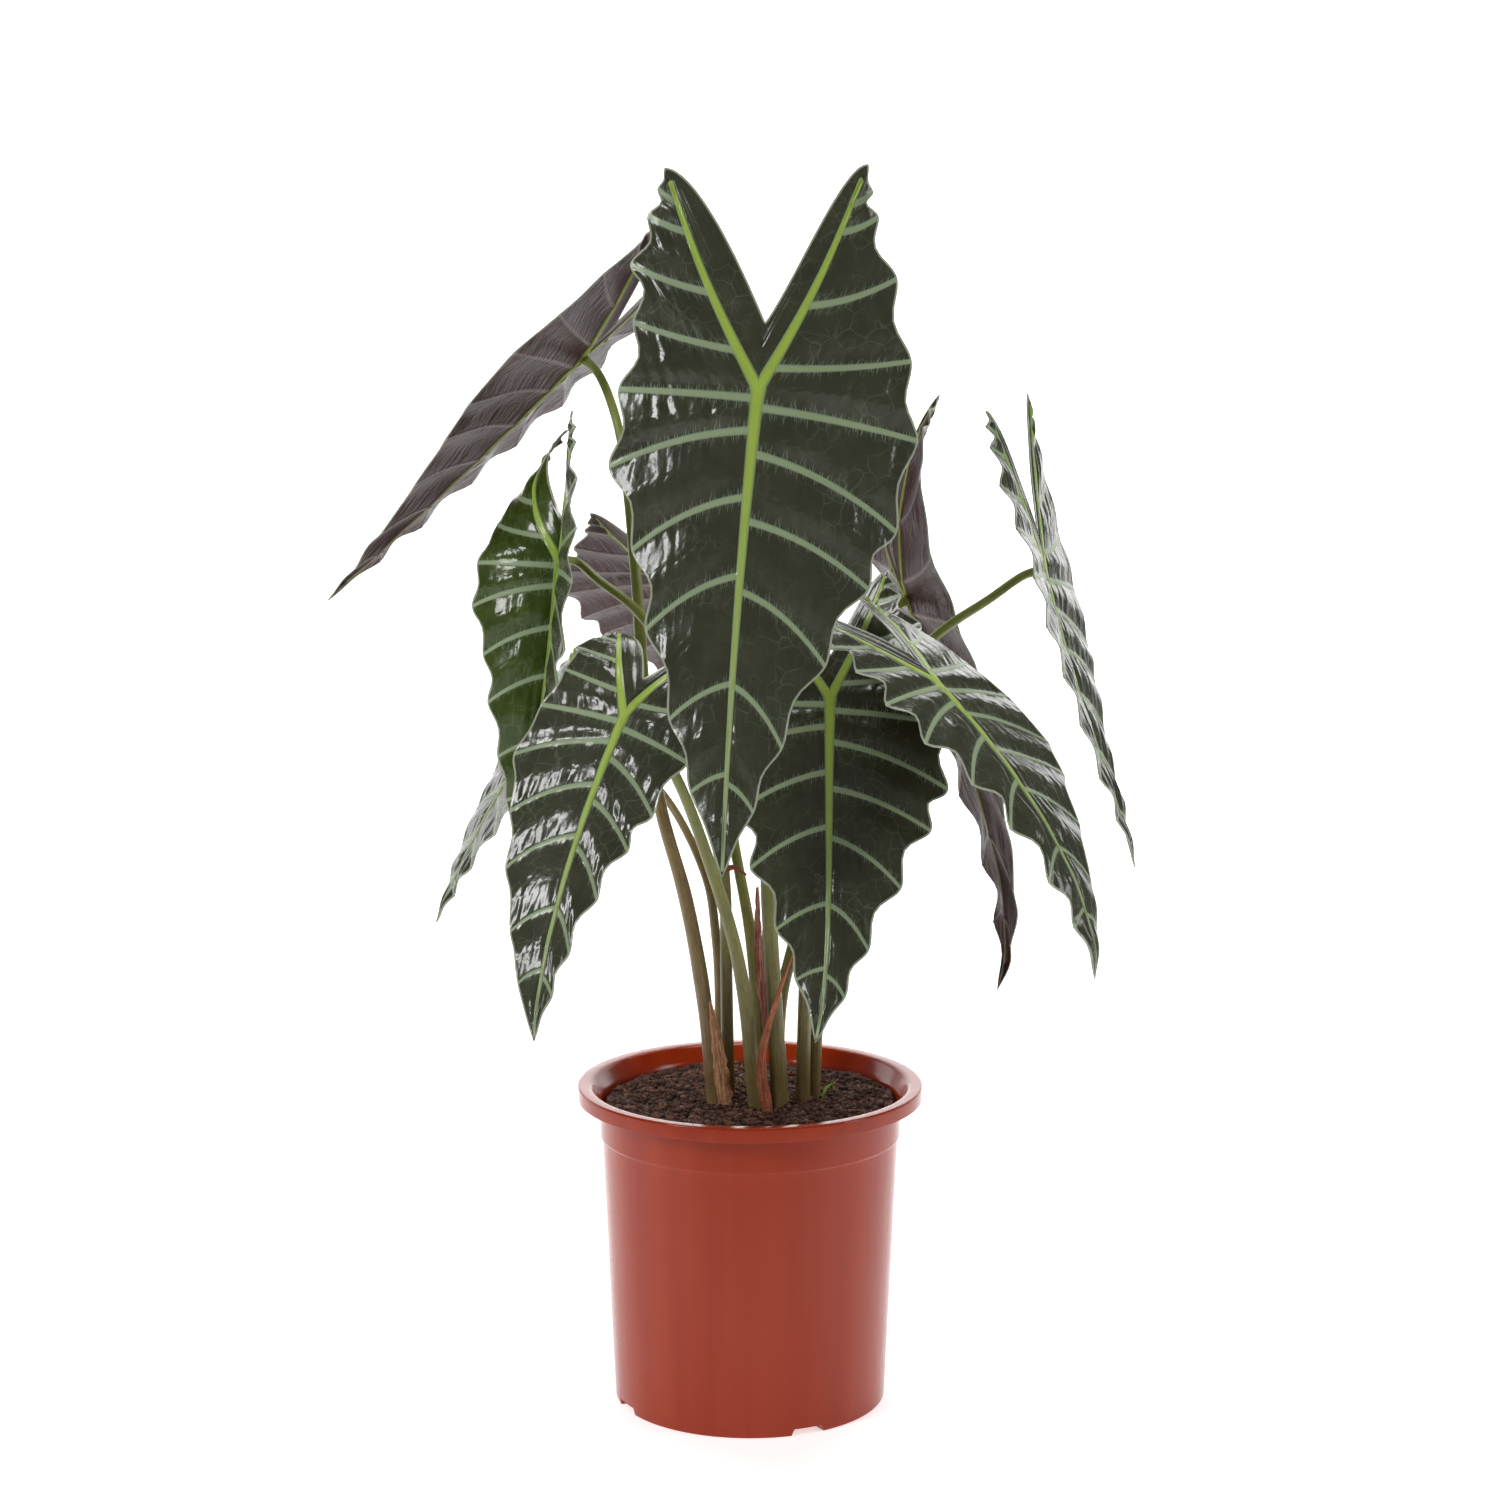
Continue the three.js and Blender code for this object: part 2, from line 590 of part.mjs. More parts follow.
const plant = new THREE.Group();
plant.position.z = soilLevel;
leaves.forEach((leaf, i) => {
  plant.add(named(`blade_${leaf.name}`, bladeGeometry(leaf), upperGreen));
  plant.add(named(stalks[i].name, weld(bar(stalks[i])), stalkGreen));
});
for (const sheath of sheaths) {
  plant.add(named(sheath.name, weld(bar(sheath)), finish(sheath.colour, 0.8)));
}
plant.add(named("seedling", weld(bar(seedling)), seedlingGreen));

const pottedAlocasia = new THREE.Group();
pottedAlocasia.add(named("pot", toGeometry(potSolid()), plastic));
pottedAlocasia.add(named("soil", toGeometry(soilSolid([...stalks, ...rootedSheaths, seedling])), peat));
pottedAlocasia.add(plant);

export default pottedAlocasia;
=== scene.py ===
"""Potted alocasia: the visual model of ten arrow-shaped leaves in a moulded nursery pot, built round the
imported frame. Plant measures are millimetres from the middle of the soil's surface, and `piece` turns them to
metres."""

import math

import bpy
import numpy as np
from bpy.props import FloatProperty, FloatVectorProperty, IntProperty, PointerProperty
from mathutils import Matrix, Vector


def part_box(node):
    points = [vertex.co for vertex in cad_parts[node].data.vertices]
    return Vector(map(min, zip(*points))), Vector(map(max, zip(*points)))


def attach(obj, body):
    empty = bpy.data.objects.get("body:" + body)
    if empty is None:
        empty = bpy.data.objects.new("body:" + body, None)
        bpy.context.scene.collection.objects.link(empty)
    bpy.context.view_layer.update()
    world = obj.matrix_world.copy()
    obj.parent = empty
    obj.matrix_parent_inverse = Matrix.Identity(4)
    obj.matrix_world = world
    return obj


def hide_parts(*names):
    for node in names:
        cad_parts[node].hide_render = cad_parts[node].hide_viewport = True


bl_info = {
    "name": "Potted alocasia",
    "version": (1, 0, 0),
    "blender": (4, 5, 0),
    "location": "View3D > Sidebar > Alocasia",
    "description": "Builds the leaves, stalks, soil and pot of a potted alocasia round its packed frame",
    "category": "Object",
}

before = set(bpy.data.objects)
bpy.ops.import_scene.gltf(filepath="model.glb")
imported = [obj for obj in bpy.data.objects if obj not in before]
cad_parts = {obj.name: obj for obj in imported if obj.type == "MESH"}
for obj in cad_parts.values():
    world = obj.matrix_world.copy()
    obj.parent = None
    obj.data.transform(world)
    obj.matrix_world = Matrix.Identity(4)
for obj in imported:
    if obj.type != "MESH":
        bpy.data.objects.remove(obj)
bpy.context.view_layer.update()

MM = 0.001
POT_LOW, POT_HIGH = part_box("pot")
SOIL_LOW, SOIL_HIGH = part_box("soil")
SOIL_LEVEL = SOIL_HIGH.z / MM
SOIL_EDGE = (SOIL_HIGH.x - SOIL_LOW.x) / 2 / MM
TINY = 1e-6


# ------------------------------------------------------------------------------------------ small helpers


def srgb(hex_colour, alpha=1.0):
    """A colour written as #rrggbb, as linear red, green, blue and alpha."""
    parts = [int(hex_colour[i:i + 2], 16) / 255 for i in (1, 3, 5)]
    return (*((c / 12.92 if c <= 0.04045 else ((c + 0.055) / 1.055) ** 2.4) for c in parts), alpha)


def mix(a, b, f):
    return a + (b - a) * f


def smooth(low, high, x):
    """0 below low and 1 above high, with an S-shaped rise between them."""
    f = np.clip((x - low) / (high - low), 0, 1)
    return f * f * (3 - 2 * f)


def unit(v):
    v = np.asarray(v, float)
    return v / np.maximum(np.linalg.norm(v, axis=-1, keepdims=True), 1e-12)


def lattice_noise(points, cell, seed):
    """Smooth noise from -1 to 1: each corner of a lattice of that cell size has a hashed value, and a point
    takes the mix of its cell's corners, eased along each axis."""
    at = np.asarray(points, float) / cell
    low = np.floor(at).astype(np.int64)
    f = at - low
    f = f * f * (3 - 2 * f)
    total = np.zeros(at.shape[:-1])
    dims = at.shape[-1]
    for corner in range(2 ** dims):
        bits = np.array([(corner >> k) & 1 for k in range(dims)])
        node = low + bits
        key = np.full(at.shape[:-1], seed * 7919 + 17, np.int64)
        for k in range(dims):
            key = (key * 31 + node[..., k] * (73856093, 19349663, 83492791)[k]) & 0xFFFFFFFF
            key = ((key ^ (key >> 15)) * 2246822519) & 0xFFFFFFFF
        value = ((key ^ (key >> 13)) & 0xFFFF) / 32767.5 - 1
        total += value * np.prod(np.where(bits, f, 1 - f), axis=-1)
    return total


def spline(points, at):
    """Catmull-Rom curve through the points, at parameters counted in points, with the ends carried on."""
    points = np.asarray(points, float)
    last = len(points) - 1
    padded = np.vstack([2 * points[0] - points[1], points, 2 * points[-1] - points[-2]])
    k = np.clip(np.floor(at).astype(int), 0, last - 1)
    f = (at - k)[..., None]
    a, b, c, d = (padded[k + i] for i in range(4))
    square, cube = 2 * a - 5 * b + 4 * c - d, 3 * b - a - 3 * c + d
    return 0.5 * (2 * b + (c - a) * f + square * f ** 2 + cube * f ** 3)


def route(points, step):
    """A centripetal Catmull-Rom curve through the points, sampled about every step: each span runs over the
    square root of its length, which keeps uneven points free of loops. Returns places and unit tangents."""
    points = np.asarray(points, float)
    ends = np.vstack([2 * points[0] - points[1], points, 2 * points[-1] - points[-2]])
    places = []
    for i in range(1, len(ends) - 2):
        p = ends[i - 1:i + 3]
        chords = np.linalg.norm(np.diff(p, axis=0), axis=1)
        knots = np.concatenate([[0], np.cumsum(np.maximum(chords, TINY) ** 0.5)])
        count = max(2, int(np.ceil(np.linalg.norm(p[2] - p[1]) / step)))
        t = np.linspace(knots[1], knots[2], count + 1)[:, None]

        def between(a, b, i, j):
            return (a * (knots[j] - t) + b * (t - knots[i])) / (knots[j] - knots[i])

        a1, a2, a3 = between(p[0], p[1], 0, 1), between(p[1], p[2], 1, 2), between(p[2], p[3], 2, 3)
        curve = between(between(a1, a2, 0, 2), between(a2, a3, 1, 3), 1, 2)
        places.append(curve if i == len(ends) - 3 else curve[:-1])
    places = np.vstack(places)
    return places, unit(np.gradient(places, axis=0))


def lengths_along(places):
    """How far along a polyline each of its points is."""
    return np.concatenate([[0], np.cumsum(np.linalg.norm(np.diff(places, axis=0), axis=1))])


def spread(values, count):
    """The values as evenly spaced stops, read off at that many evenly spaced places."""
    return np.interp(np.linspace(0, 1, count), np.linspace(0, 1, len(values)), values)


def name_seed(name):
    return sum(map(ord, name))


def circle(count):
    return 2 * np.pi * np.arange(count) / count


def grid_faces(rows, columns, first=0, closed=False):
    """Quads of a grid of points stored row by row. A closed grid also joins its last column to its first."""
    i, j = np.meshgrid(np.arange(rows - 1), np.arange(columns if closed else columns - 1), indexing="ij")
    following = (j + 1) % columns
    quads = np.stack([i * columns + j, i * columns + following,
                      (i + 1) * columns + following, (i + 1) * columns + j], -1)
    return quads.reshape(-1, 4) + first


def capped_tube(rows, sides, first=0):
    """Faces of a closed tube whose ends are fans to two extra points, stored after the rings."""
    quads = grid_faces(rows, sides, first, closed=True)
    k = np.arange(sides)
    following = (k + 1) % sides
    start, end = first + rows * sides, first + rows * sides + 1
    low = np.stack([np.full(sides, start), following + first, k + first], -1)
    top = first + (rows - 1) * sides
    high = np.stack([np.full(sides, end), k + top, following + top], -1)
    return quads, np.vstack([low, high])


def capped_run(across, far):
    """The `run` map of a capped tube: how far across and along it each point is, in metres. The two extra
    points take the first and the last ring point's."""
    run = np.stack(np.broadcast_arrays(across[None, :], far[:, None]), -1).reshape(-1, 2)
    return np.vstack([run, run[:1], run[-1:]]) * MM


def outward(points, quads, triangles):
    """The faces turned so that the volume they enclose is positive."""
    halves = np.vstack([quads[:, [0, 1, 2]], quads[:, [0, 2, 3]], triangles]) if len(quads) else triangles
    a, b, c = (points[halves[:, k]] for k in range(3))
    if np.einsum("ij,ij->i", a, np.cross(b, c)).sum() < 0:
        return quads[:, ::-1], triangles[:, ::-1]
    return quads, triangles


def linked(name, data):
    """An object of that data at the origin, in the scene."""
    made = bpy.data.objects.new(name, data)
    bpy.context.scene.collection.objects.link(made)
    return made


def piece(name, points, quads, triangles, materials, node=None, marks=None, run=None, index=None):
    """A smooth mesh object from arrays in millimetres, riding on the frame's body and standing for a node.
    The marks hold one number a point, `run` is the UV map's pair a point, and `index` is each face's
    material."""
    points = np.asarray(points, float) * MM
    quads, triangles = outward(points, quads, triangles)
    mesh = bpy.data.meshes.new(name)
    mesh.from_pydata(points.tolist(), [], quads.tolist() + triangles.tolist())
    for key, values in (marks or {}).items():
        layer = mesh.attributes.new(key, "FLOAT", "POINT")
        layer.data.foreach_set("value", np.asarray(values, np.float32).ravel())
    if run is not None:
        layer = mesh.uv_layers.new(name="run")
        corner = np.zeros(len(mesh.loops), np.int32)
        mesh.loops.foreach_get("vertex_index", corner)
        layer.data.foreach_set("uv", np.asarray(run, np.float32)[corner].ravel())
    for material in materials:
        mesh.materials.append(material)
    if index is not None:
        mesh.polygons.foreach_set("material_index", np.asarray(index, np.int32))
    mesh.polygons.foreach_set("use_smooth", np.ones(len(mesh.polygons), bool))
    mesh.update()
    made = linked(name, mesh)
    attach(made, "root")
    if node:
        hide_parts(node)
    return made


# ------------------------------------------------------------------------------------------ materials


def add(tree, kind, inputs=None, output=0, **settings):
    """Adds a node with its settings, sets or links its inputs, and returns one of its outputs."""
    node = tree.nodes.new(kind)
    for key, value in settings.items():
        setattr(node, key, value)
    for key, value in (inputs or {}).items():
        if isinstance(value, bpy.types.NodeSocket):
            tree.links.new(value, node.inputs[key])
        else:
            node.inputs[key].default_value = value
    return node.outputs[output]


def object_place(tree):
    return add(tree, "ShaderNodeTexCoord", output=3)


def point_marks(tree, *names):
    """The numbers that the mesh holds for each of its points, under those names."""
    return [add(tree, "ShaderNodeAttribute", output=2, attribute_name=name) for name in names]


def tint(tree, share, first, second):
    """The first colour at share 0 and the second at share 1. A colour is a socket, or written as #rrggbb."""
    first, second = (srgb(colour) if isinstance(colour, str) else colour for colour in (first, second))
    return add(tree, "ShaderNodeMix", {0: share, 6: first, 7: second}, 2, data_type="RGBA")


def remap(tree, value, low, high, to_low=0, to_high=1):
    """The stretch from low to high carried over to another stretch, and held at its ends."""
    return add(tree, "ShaderNodeMapRange", {0: value, 1: low, 2: high, 3: to_low, 4: to_high})


def maths(tree, operation, *values):
    return add(tree, "ShaderNodeMath", dict(enumerate(values)), operation=operation)


def noise(tree, place, scale, detail=2, roughness=0.5, output=0):
    """Solid noise with about `scale` lumps a metre: output 0 is a number, and 1 is a colour."""
    return add(tree, "ShaderNodeTexNoise",
               {"Vector": place, "Scale": scale, "Detail": detail, "Roughness": roughness}, output)


def strands(tree, along, across, detail, distortion=0):
    """Flat noise over the `run` map, whose lumps are `along` by `across` millimetres."""
    run = add(tree, "ShaderNodeUVMap", uv_map="run")
    scale = (1 / (along * MM), 1 / (across * MM), 1.0)
    inputs = {"Vector": add(tree, "ShaderNodeMapping", {"Vector": run, "Scale": scale}), "Scale": 1.0,
              "Detail": detail, "Distortion": distortion}
    return add(tree, "ShaderNodeTexNoise", inputs, noise_dimensions="2D")


def cell_edges(tree, place, scale):
    """Distance to the nearest edge between cells, with about `scale` cells a metre."""
    return add(tree, "ShaderNodeTexVoronoi", {"Vector": place, "Scale": scale}, feature="DISTANCE_TO_EDGE")


def raised(tree, height, strength, distance, over=None):
    """A bump of that height over the plain surface, or over another bump."""
    inputs = {"Height": height, "Strength": strength, "Distance": distance}
    return add(tree, "ShaderNodeBump", inputs if over is None else {**inputs, "Normal": over})


def ramp(tree, value, stops):
    """A colour ramp over the value, from (place, colour) stops."""
    out = add(tree, "ShaderNodeValToRGB", {0: value})
    elements = out.node.color_ramp.elements
    while len(elements) < len(stops):
        elements.new(0.5)
    for element, (place, colour) in zip(elements, stops):
        element.position, element.color = place, srgb(colour)
    return out


def new_material(name):
    material = bpy.data.materials.new(name)
    material.use_nodes = True
    material.node_tree.nodes.clear()
    return material, material.node_tree


def close_material(material, inputs):
    """Ends a material with a principled surface that has those inputs, and returns it."""
    tree = material.node_tree
    out = tree.nodes.new("ShaderNodeOutputMaterial")
    tree.links.new(add(tree, "ShaderNodeBsdfPrincipled", inputs), out.inputs["Surface"])
    return material


def waxy_leaf_upper():
    """Living leaf, upper side: dark green under a clear wax, so it shines in small sharp spots on its
    puckers. The ribs are lime, the side veins sage with fine pale hairs beside them, and the margin is a
    cream line. On the half that a leaf marks for it, the flesh is painted a lighter yellow-green: painted
    backlight, as where light shines through the leaf from behind."""
    material, tree = new_material("leaf upper side, waxy")
    place = object_place(tree)
    rib, vein, edge, tip, painted_backlight = point_marks(tree, "rib", "vein", "edge", "tip", "painted_backlight")

    mottle = noise(tree, place, 60, 5, 0.6)
    dark = tint(tree, mottle, "#2b2e20", "#474a36")
    # Painted backlight: on the half that a leaf marks for it, the flesh takes this lighter yellow-green, as
    # where light shines through from behind.
    lit = tint(tree, mottle, "#1f2a0c", "#4c5f18")
    flesh = tint(tree, painted_backlight, dark, lit)

    # Hairs beside the veins, about 0.7 mm apart along a vein and drawn out to 9 mm across it.
    reach = remap(tree, strands(tree, 0.7, 9, 1), 0.52, 0.78, 0, 3.4)
    beyond = maths(tree, "SUBTRACT", vein, 1.1)
    fringe = remap(tree, maths(tree, "SUBTRACT", reach, beyond), 0, 1.6, 0, 0.5)

    # Loops and nets of the finest veins, cells of about 9 mm with lines near 0.4 mm, here and there.
    wander = noise(tree, place, 90, output=1)
    bent = add(tree, "ShaderNodeMix", {0: 0.006, 4: place, 5: wander}, 1, data_type="VECTOR")
    net = remap(tree, cell_edges(tree, bent, 105), 0.012, 0.04, 0.13, 0)
    some = remap(tree, noise(tree, place, 38, 1), 0.45, 0.62)
    pale_lines = maths(tree, "MAXIMUM", fringe, maths(tree, "MULTIPLY", net, some))
    veined = tint(tree, pale_lines, flesh, "#93a48a")

    side = remap(tree, vein, 0.75, 1.35, 1, 0)
    core = remap(tree, vein, 0, 0.8, 0.6, 0)
    veined = tint(tree, side, veined, tint(tree, core, "#93a286", "#93ab68"))

    ribbed = remap(tree, rib, 0.95, 1.25, 1, 0)
    middle = remap(tree, rib, 0.45, 1, 1, 0)
    lime = tint(tree, middle, tint(tree, tip, "#86a05c", "#8a9780"), tint(tree, tip, "#a3bd48", "#9aaa80"))
    colour = tint(tree, ribbed, veined, lime)
    cream = remap(tree, edge, 0.75, 1.25, 0.9, 0)
    colour = tint(tree, cream, colour, "#a9b09a")

    # Puckers finer than the mesh: ridges about 5 mm apart that cross the gap between two side veins.
    fine = noise(tree, place, 420, 3)
    skin = raised(tree, fine, 0.25, 0.0004)
    flat = maths(tree, "MAXIMUM", ribbed, side)
    bump = raised(tree, strands(tree, 4.6, 11, 0.6), remap(tree, flat, 0, 1, 0.45, 0.1), 0.0011, skin)
    rough = remap(tree, mottle, 0.3, 0.7, 0.15, 0.3)
    rough = add(tree, "ShaderNodeMix", {0: flat, 2: rough, 3: 0.45}, data_type="FLOAT")
    return close_material(material, {
        "Base Color": colour, "Roughness": rough, "IOR": 1.42, "Normal": bump, "Coat Weight": 0.28,
        "Coat Roughness": 0.07, "Coat Normal": bump})


def plum_leaf_under():
    """Living leaf, underside: matt plum brown with a grey bloom, lime main ribs and dull raised veins."""
    material, tree = new_material("leaf underside, plum")
    place = object_place(tree)
    rib, vein, edge, tip = point_marks(tree, "rib", "vein", "edge", "tip")

    mottle = noise(tree, place, 45, 5, 0.6)
    colour = tint(tree, mottle, "#2b1919", "#4b2f2e")
    side = remap(tree, vein, 0.45, 1.1, 0.55, 0)
    colour = tint(tree, side, colour, "#7a6a66")
    ribbed = remap(tree, rib, 0.55, 0.85, 1, 0)
    colour = tint(tree, ribbed, colour, tint(tree, tip, "#8f9a3e", "#8a7f6c"))
    cream = remap(tree, edge, 0.5, 1, 0.7, 0)
    colour = tint(tree, cream, colour, "#8f857c")

    net = raised(tree, cell_edges(tree, place, 300), 0.3, -0.0004)
    bump = raised(tree, strands(tree, 2.6, 12, 3), 0.8, 0.0012, net)
    rough = remap(tree, mottle, 0.3, 0.7, 0.34, 0.48)
    return close_material(material, {
        "Base Color": colour, "Roughness": rough, "IOR": 1.38, "Normal": bump, "Coat Weight": 0.1,
        "Coat Roughness": 0.2, "Coat Normal": bump})


def leaf_stalk():
    """Leaf stalk: a smooth juicy green skin, browner and mottled towards the soil, with fine lengthwise
    streaks."""
    material, tree = new_material("leaf stalk")
    place = object_place(tree)
    brown, = point_marks(tree, "brown")
    rise = remap(tree, add(tree, "ShaderNodeSeparateXYZ", {0: place}, output=2), 0.17, 0.36)
    wood = noise(tree, place, 70, 4)
    green = tint(tree, rise, tint(tree, wood, "#5d5229", "#8a7d4a"), tint(tree, wood, "#67752c", "#94a348"))
    colour = tint(tree, brown, green, tint(tree, wood, "#5c4430", "#93744e"))

    # Streaks 0.8 mm wide and about 25 mm long, and short darker mottles.
    streak = strands(tree, 0.8, 25, 2)
    colour = tint(tree, remap(tree, streak, 0.35, 0.7, 0, 0.4), colour, "#a39a66")
    mottles = remap(tree, strands(tree, 2.5, 7, 4), 0.5, 0.75, 0, 0.3)
    colour = tint(tree, mottles, colour, "#4c3c22")
    return close_material(material, {
        "Base Color": colour, "Roughness": 0.36, "IOR": 1.45, "Normal": raised(tree, streak, 0.35, 0.0004),
        "Coat Weight": 0.15, "Coat Roughness": 0.2})


def papery_sheath(name, pale, deep, dullness):
    """Old leaf sheath: dried to a wrinkled paper, dull, with long fibres in two browns."""
    material, tree = new_material(name)
    fibre = strands(tree, 0.6, 14, 4, 0.6)
    colour = tint(tree, remap(tree, fibre, 0.32, 0.68), deep, pale)
    folds = raised(tree, strands(tree, 3, 2.4, 4), 0.8, 0.0012)
    return close_material(material, {
        "Base Color": colour, "Roughness": dullness, "IOR": 1.45,
        "Normal": raised(tree, fibre, 0.6, 0.0006, folds)})


def damp_peat():
    """Potting peat: milled moss and bark, damp and matt, dark brown with lighter chips, each crumb its own
    tone."""
    material, tree = new_material("damp peat")
    place = object_place(tree)
    tone, = point_marks(tree, "tone")
    coarse = noise(tree, place, 260, 6, 0.7)
    speck = add(tree, "ShaderNodeTexVoronoi", {"Vector": place, "Scale": 700.0}, output=1)
    grey = add(tree, "ShaderNodeRGBToBW", {0: speck})
    blend = add(tree, "ShaderNodeMix", {0: 0.45, 2: coarse, 3: grey}, data_type="FLOAT")
    colour = ramp(tree, maths(tree, "ADD", blend, tone),
                  [(0.22, "#271811"), (0.5, "#4b2e22"), (0.75, "#735041"), (1.0, "#93765c")])
    return close_material(material, {
        "Base Color": colour, "Roughness": 0.88, "IOR": 1.4, "Normal": raised(tree, coarse, 0.9, 0.0012)})


def moulded_polypropylene():
    """Injection moulded polypropylene: terracotta pigment, glossy from the mould, with a slight orange peel,
    faint flow streaks down the wall, fine scuffs and a few dark specks of dirt."""
    material, tree = new_material("moulded polypropylene")
    place = object_place(tree)
    down = add(tree, "ShaderNodeMapping", {"Vector": place, "Scale": (1.0, 1.0, 0.04)})
    flow = noise(tree, down, 55, 3)
    colour = tint(tree, remap(tree, flow, 0.35, 0.65), "#962a08", "#9f320f")
    cells = add(tree, "ShaderNodeTexVoronoi", {"Vector": place, "Scale": 95.0})
    specks = remap(tree, cells, 0.02, 0.035, 0.8, 0)
    rare = remap(tree, noise(tree, place, 60), 0.56, 0.6)
    colour = tint(tree, maths(tree, "MULTIPLY", specks, rare), colour, "#3a1a10")
    rough = remap(tree, noise(tree, place, 30, 8, 0.75), 0.35, 0.75, 0.15, 0.2)
    skin = raised(tree, noise(tree, place, 900, 1), 0.05, 0.0003)
    bump = raised(tree, flow, 0.12, 0.0015, skin)
    return close_material(material, {
        "Base Color": colour, "Roughness": rough, "IOR": 1.38, "Normal": bump, "Subsurface Weight": 0.04,
        "Subsurface Radius": (0.004, 0.0015, 0.0008)})


def pale_paper():
    """Studio paper: white and matt, glowing by itself, with the emission faded out half a metre in front of
    the pot and two metres to its sides."""
    material, tree = new_material("studio paper")
    place = object_place(tree)
    sideways, depth = (add(tree, "ShaderNodeSeparateXYZ", {0: place}, output=axis) for axis in (0, 1))
    behind = remap(tree, depth, -0.55, -0.2, 0, 0.6)
    middle = remap(tree, maths(tree, "ABSOLUTE", sideways), 1.4, 2.2, 1, 0)
    return close_material(material, {
        "Base Color": srgb("#f4f4f4"), "Roughness": 0.9, "Emission Color": srgb("#ffffff"),
        "Emission Strength": maths(tree, "MULTIPLY", behind, middle)})


# ------------------------------------------------------------------------------------------ leaf blades

# Half a blade in blade lengths, from the junction (0) to the tip (1). Each row is a side vein: where it
# leaves the rib (-1 lobe end .. 0 junction .. 1 tip), then how far forward and how far out it ends.
LEFT_VEINS = np.array([
    [-1.0, -0.432, 0.24], [-0.9, -0.39, 0.252], [-0.754, -0.333, 0.267], [-0.458, -0.228, 0.292],
    [-0.18, -0.11, 0.275], [0.02, 0.03, 0.29], [0.086, 0.186, 0.294], [0.224, 0.348, 0.23],
    [0.387, 0.507, 0.188], [0.612, 0.685, 0.126], [0.8, 0.83, 0.074], [1.0, 1.0, 0.0]])
RIGHT_VEINS = np.array([
    [-1.0, -0.483, 0.176], [-0.88, -0.43, 0.193], [-0.748, -0.38, 0.21], [-0.396, -0.259, 0.264],
    [-0.1, -0.094, 0.316], [0.038, 0.07, 0.348], [0.133, 0.264, 0.322], [0.273, 0.388, 0.272],
    [0.419, 0.555, 0.192], [0.616, 0.73, 0.112], [0.82, 0.865, 0.06], [1.0, 1.0, 0.0]])
NOTCH_DEPTH, LOBE_SPAN, HALF_WIDTH = 0.136, 0.46, 0.31
LOBE_RIB_END, TIP_RIB_END, LOBE_BOW = 0.93, 0.985, 0.014
# Where a side vein's arc has its knee, as shares of its way forward and its way out.
VEIN_KNEE = np.array([0.18, 0.5])
# Half the blade's plain thickness, and the length that the relief's heights are given for, in millimetres.
HALF_SHEET, FULL_LENGTH = 0.24, 252
# A distance in millimetres that stands for "no vein near".
FAR_OFF = 1e3
# Heights of the swelling between two veins, of the margin's frill, of the broad unevenness and of the ridges
# across the gaps, for a blade of the full length. Then the size of the broad lumps and of the ridges.
SWELL, FRILL, BROAD, RIDGES = 2.7, 2.0, 0.9, 0.9
BROAD_CELL, RIDGE_SPACING = 26, 3.8
# Places between two side veins where a row of points runs, closer together beside the veins.
ROW_PLACES = np.array([0, 0.022, 0.05, 0.09, 0.15, 0.24, 0.36, 0.5, 0.64, 0.76, 0.85, 0.91, 0.95, 0.978])
# Places from the rib to the margin, closer together on the rib and at the margin.
COLUMN_PLACES = np.concatenate([[0, 0.008, 0.017, 0.027, 0.038, 0.05, 0.064, 0.08],
                                np.linspace(0.1, 0.955, 44), [0.972, 0.985, 0.993, 1.0]])

PLAIN_BLADE = dict(
    width=1, leftWidth=1, rightWidth=1, leftFull=0, rightFull=0, lobe=1, scallop=0.024, swapped=False, bend=0,
    tipBend=0, back=0, sweep=0, tipSweep=0, leftFold=0, rightFold=0, leftCurl=0, rightCurl=0, leftLobeFold=0,
    painted_backlight=0, brown=0.1)

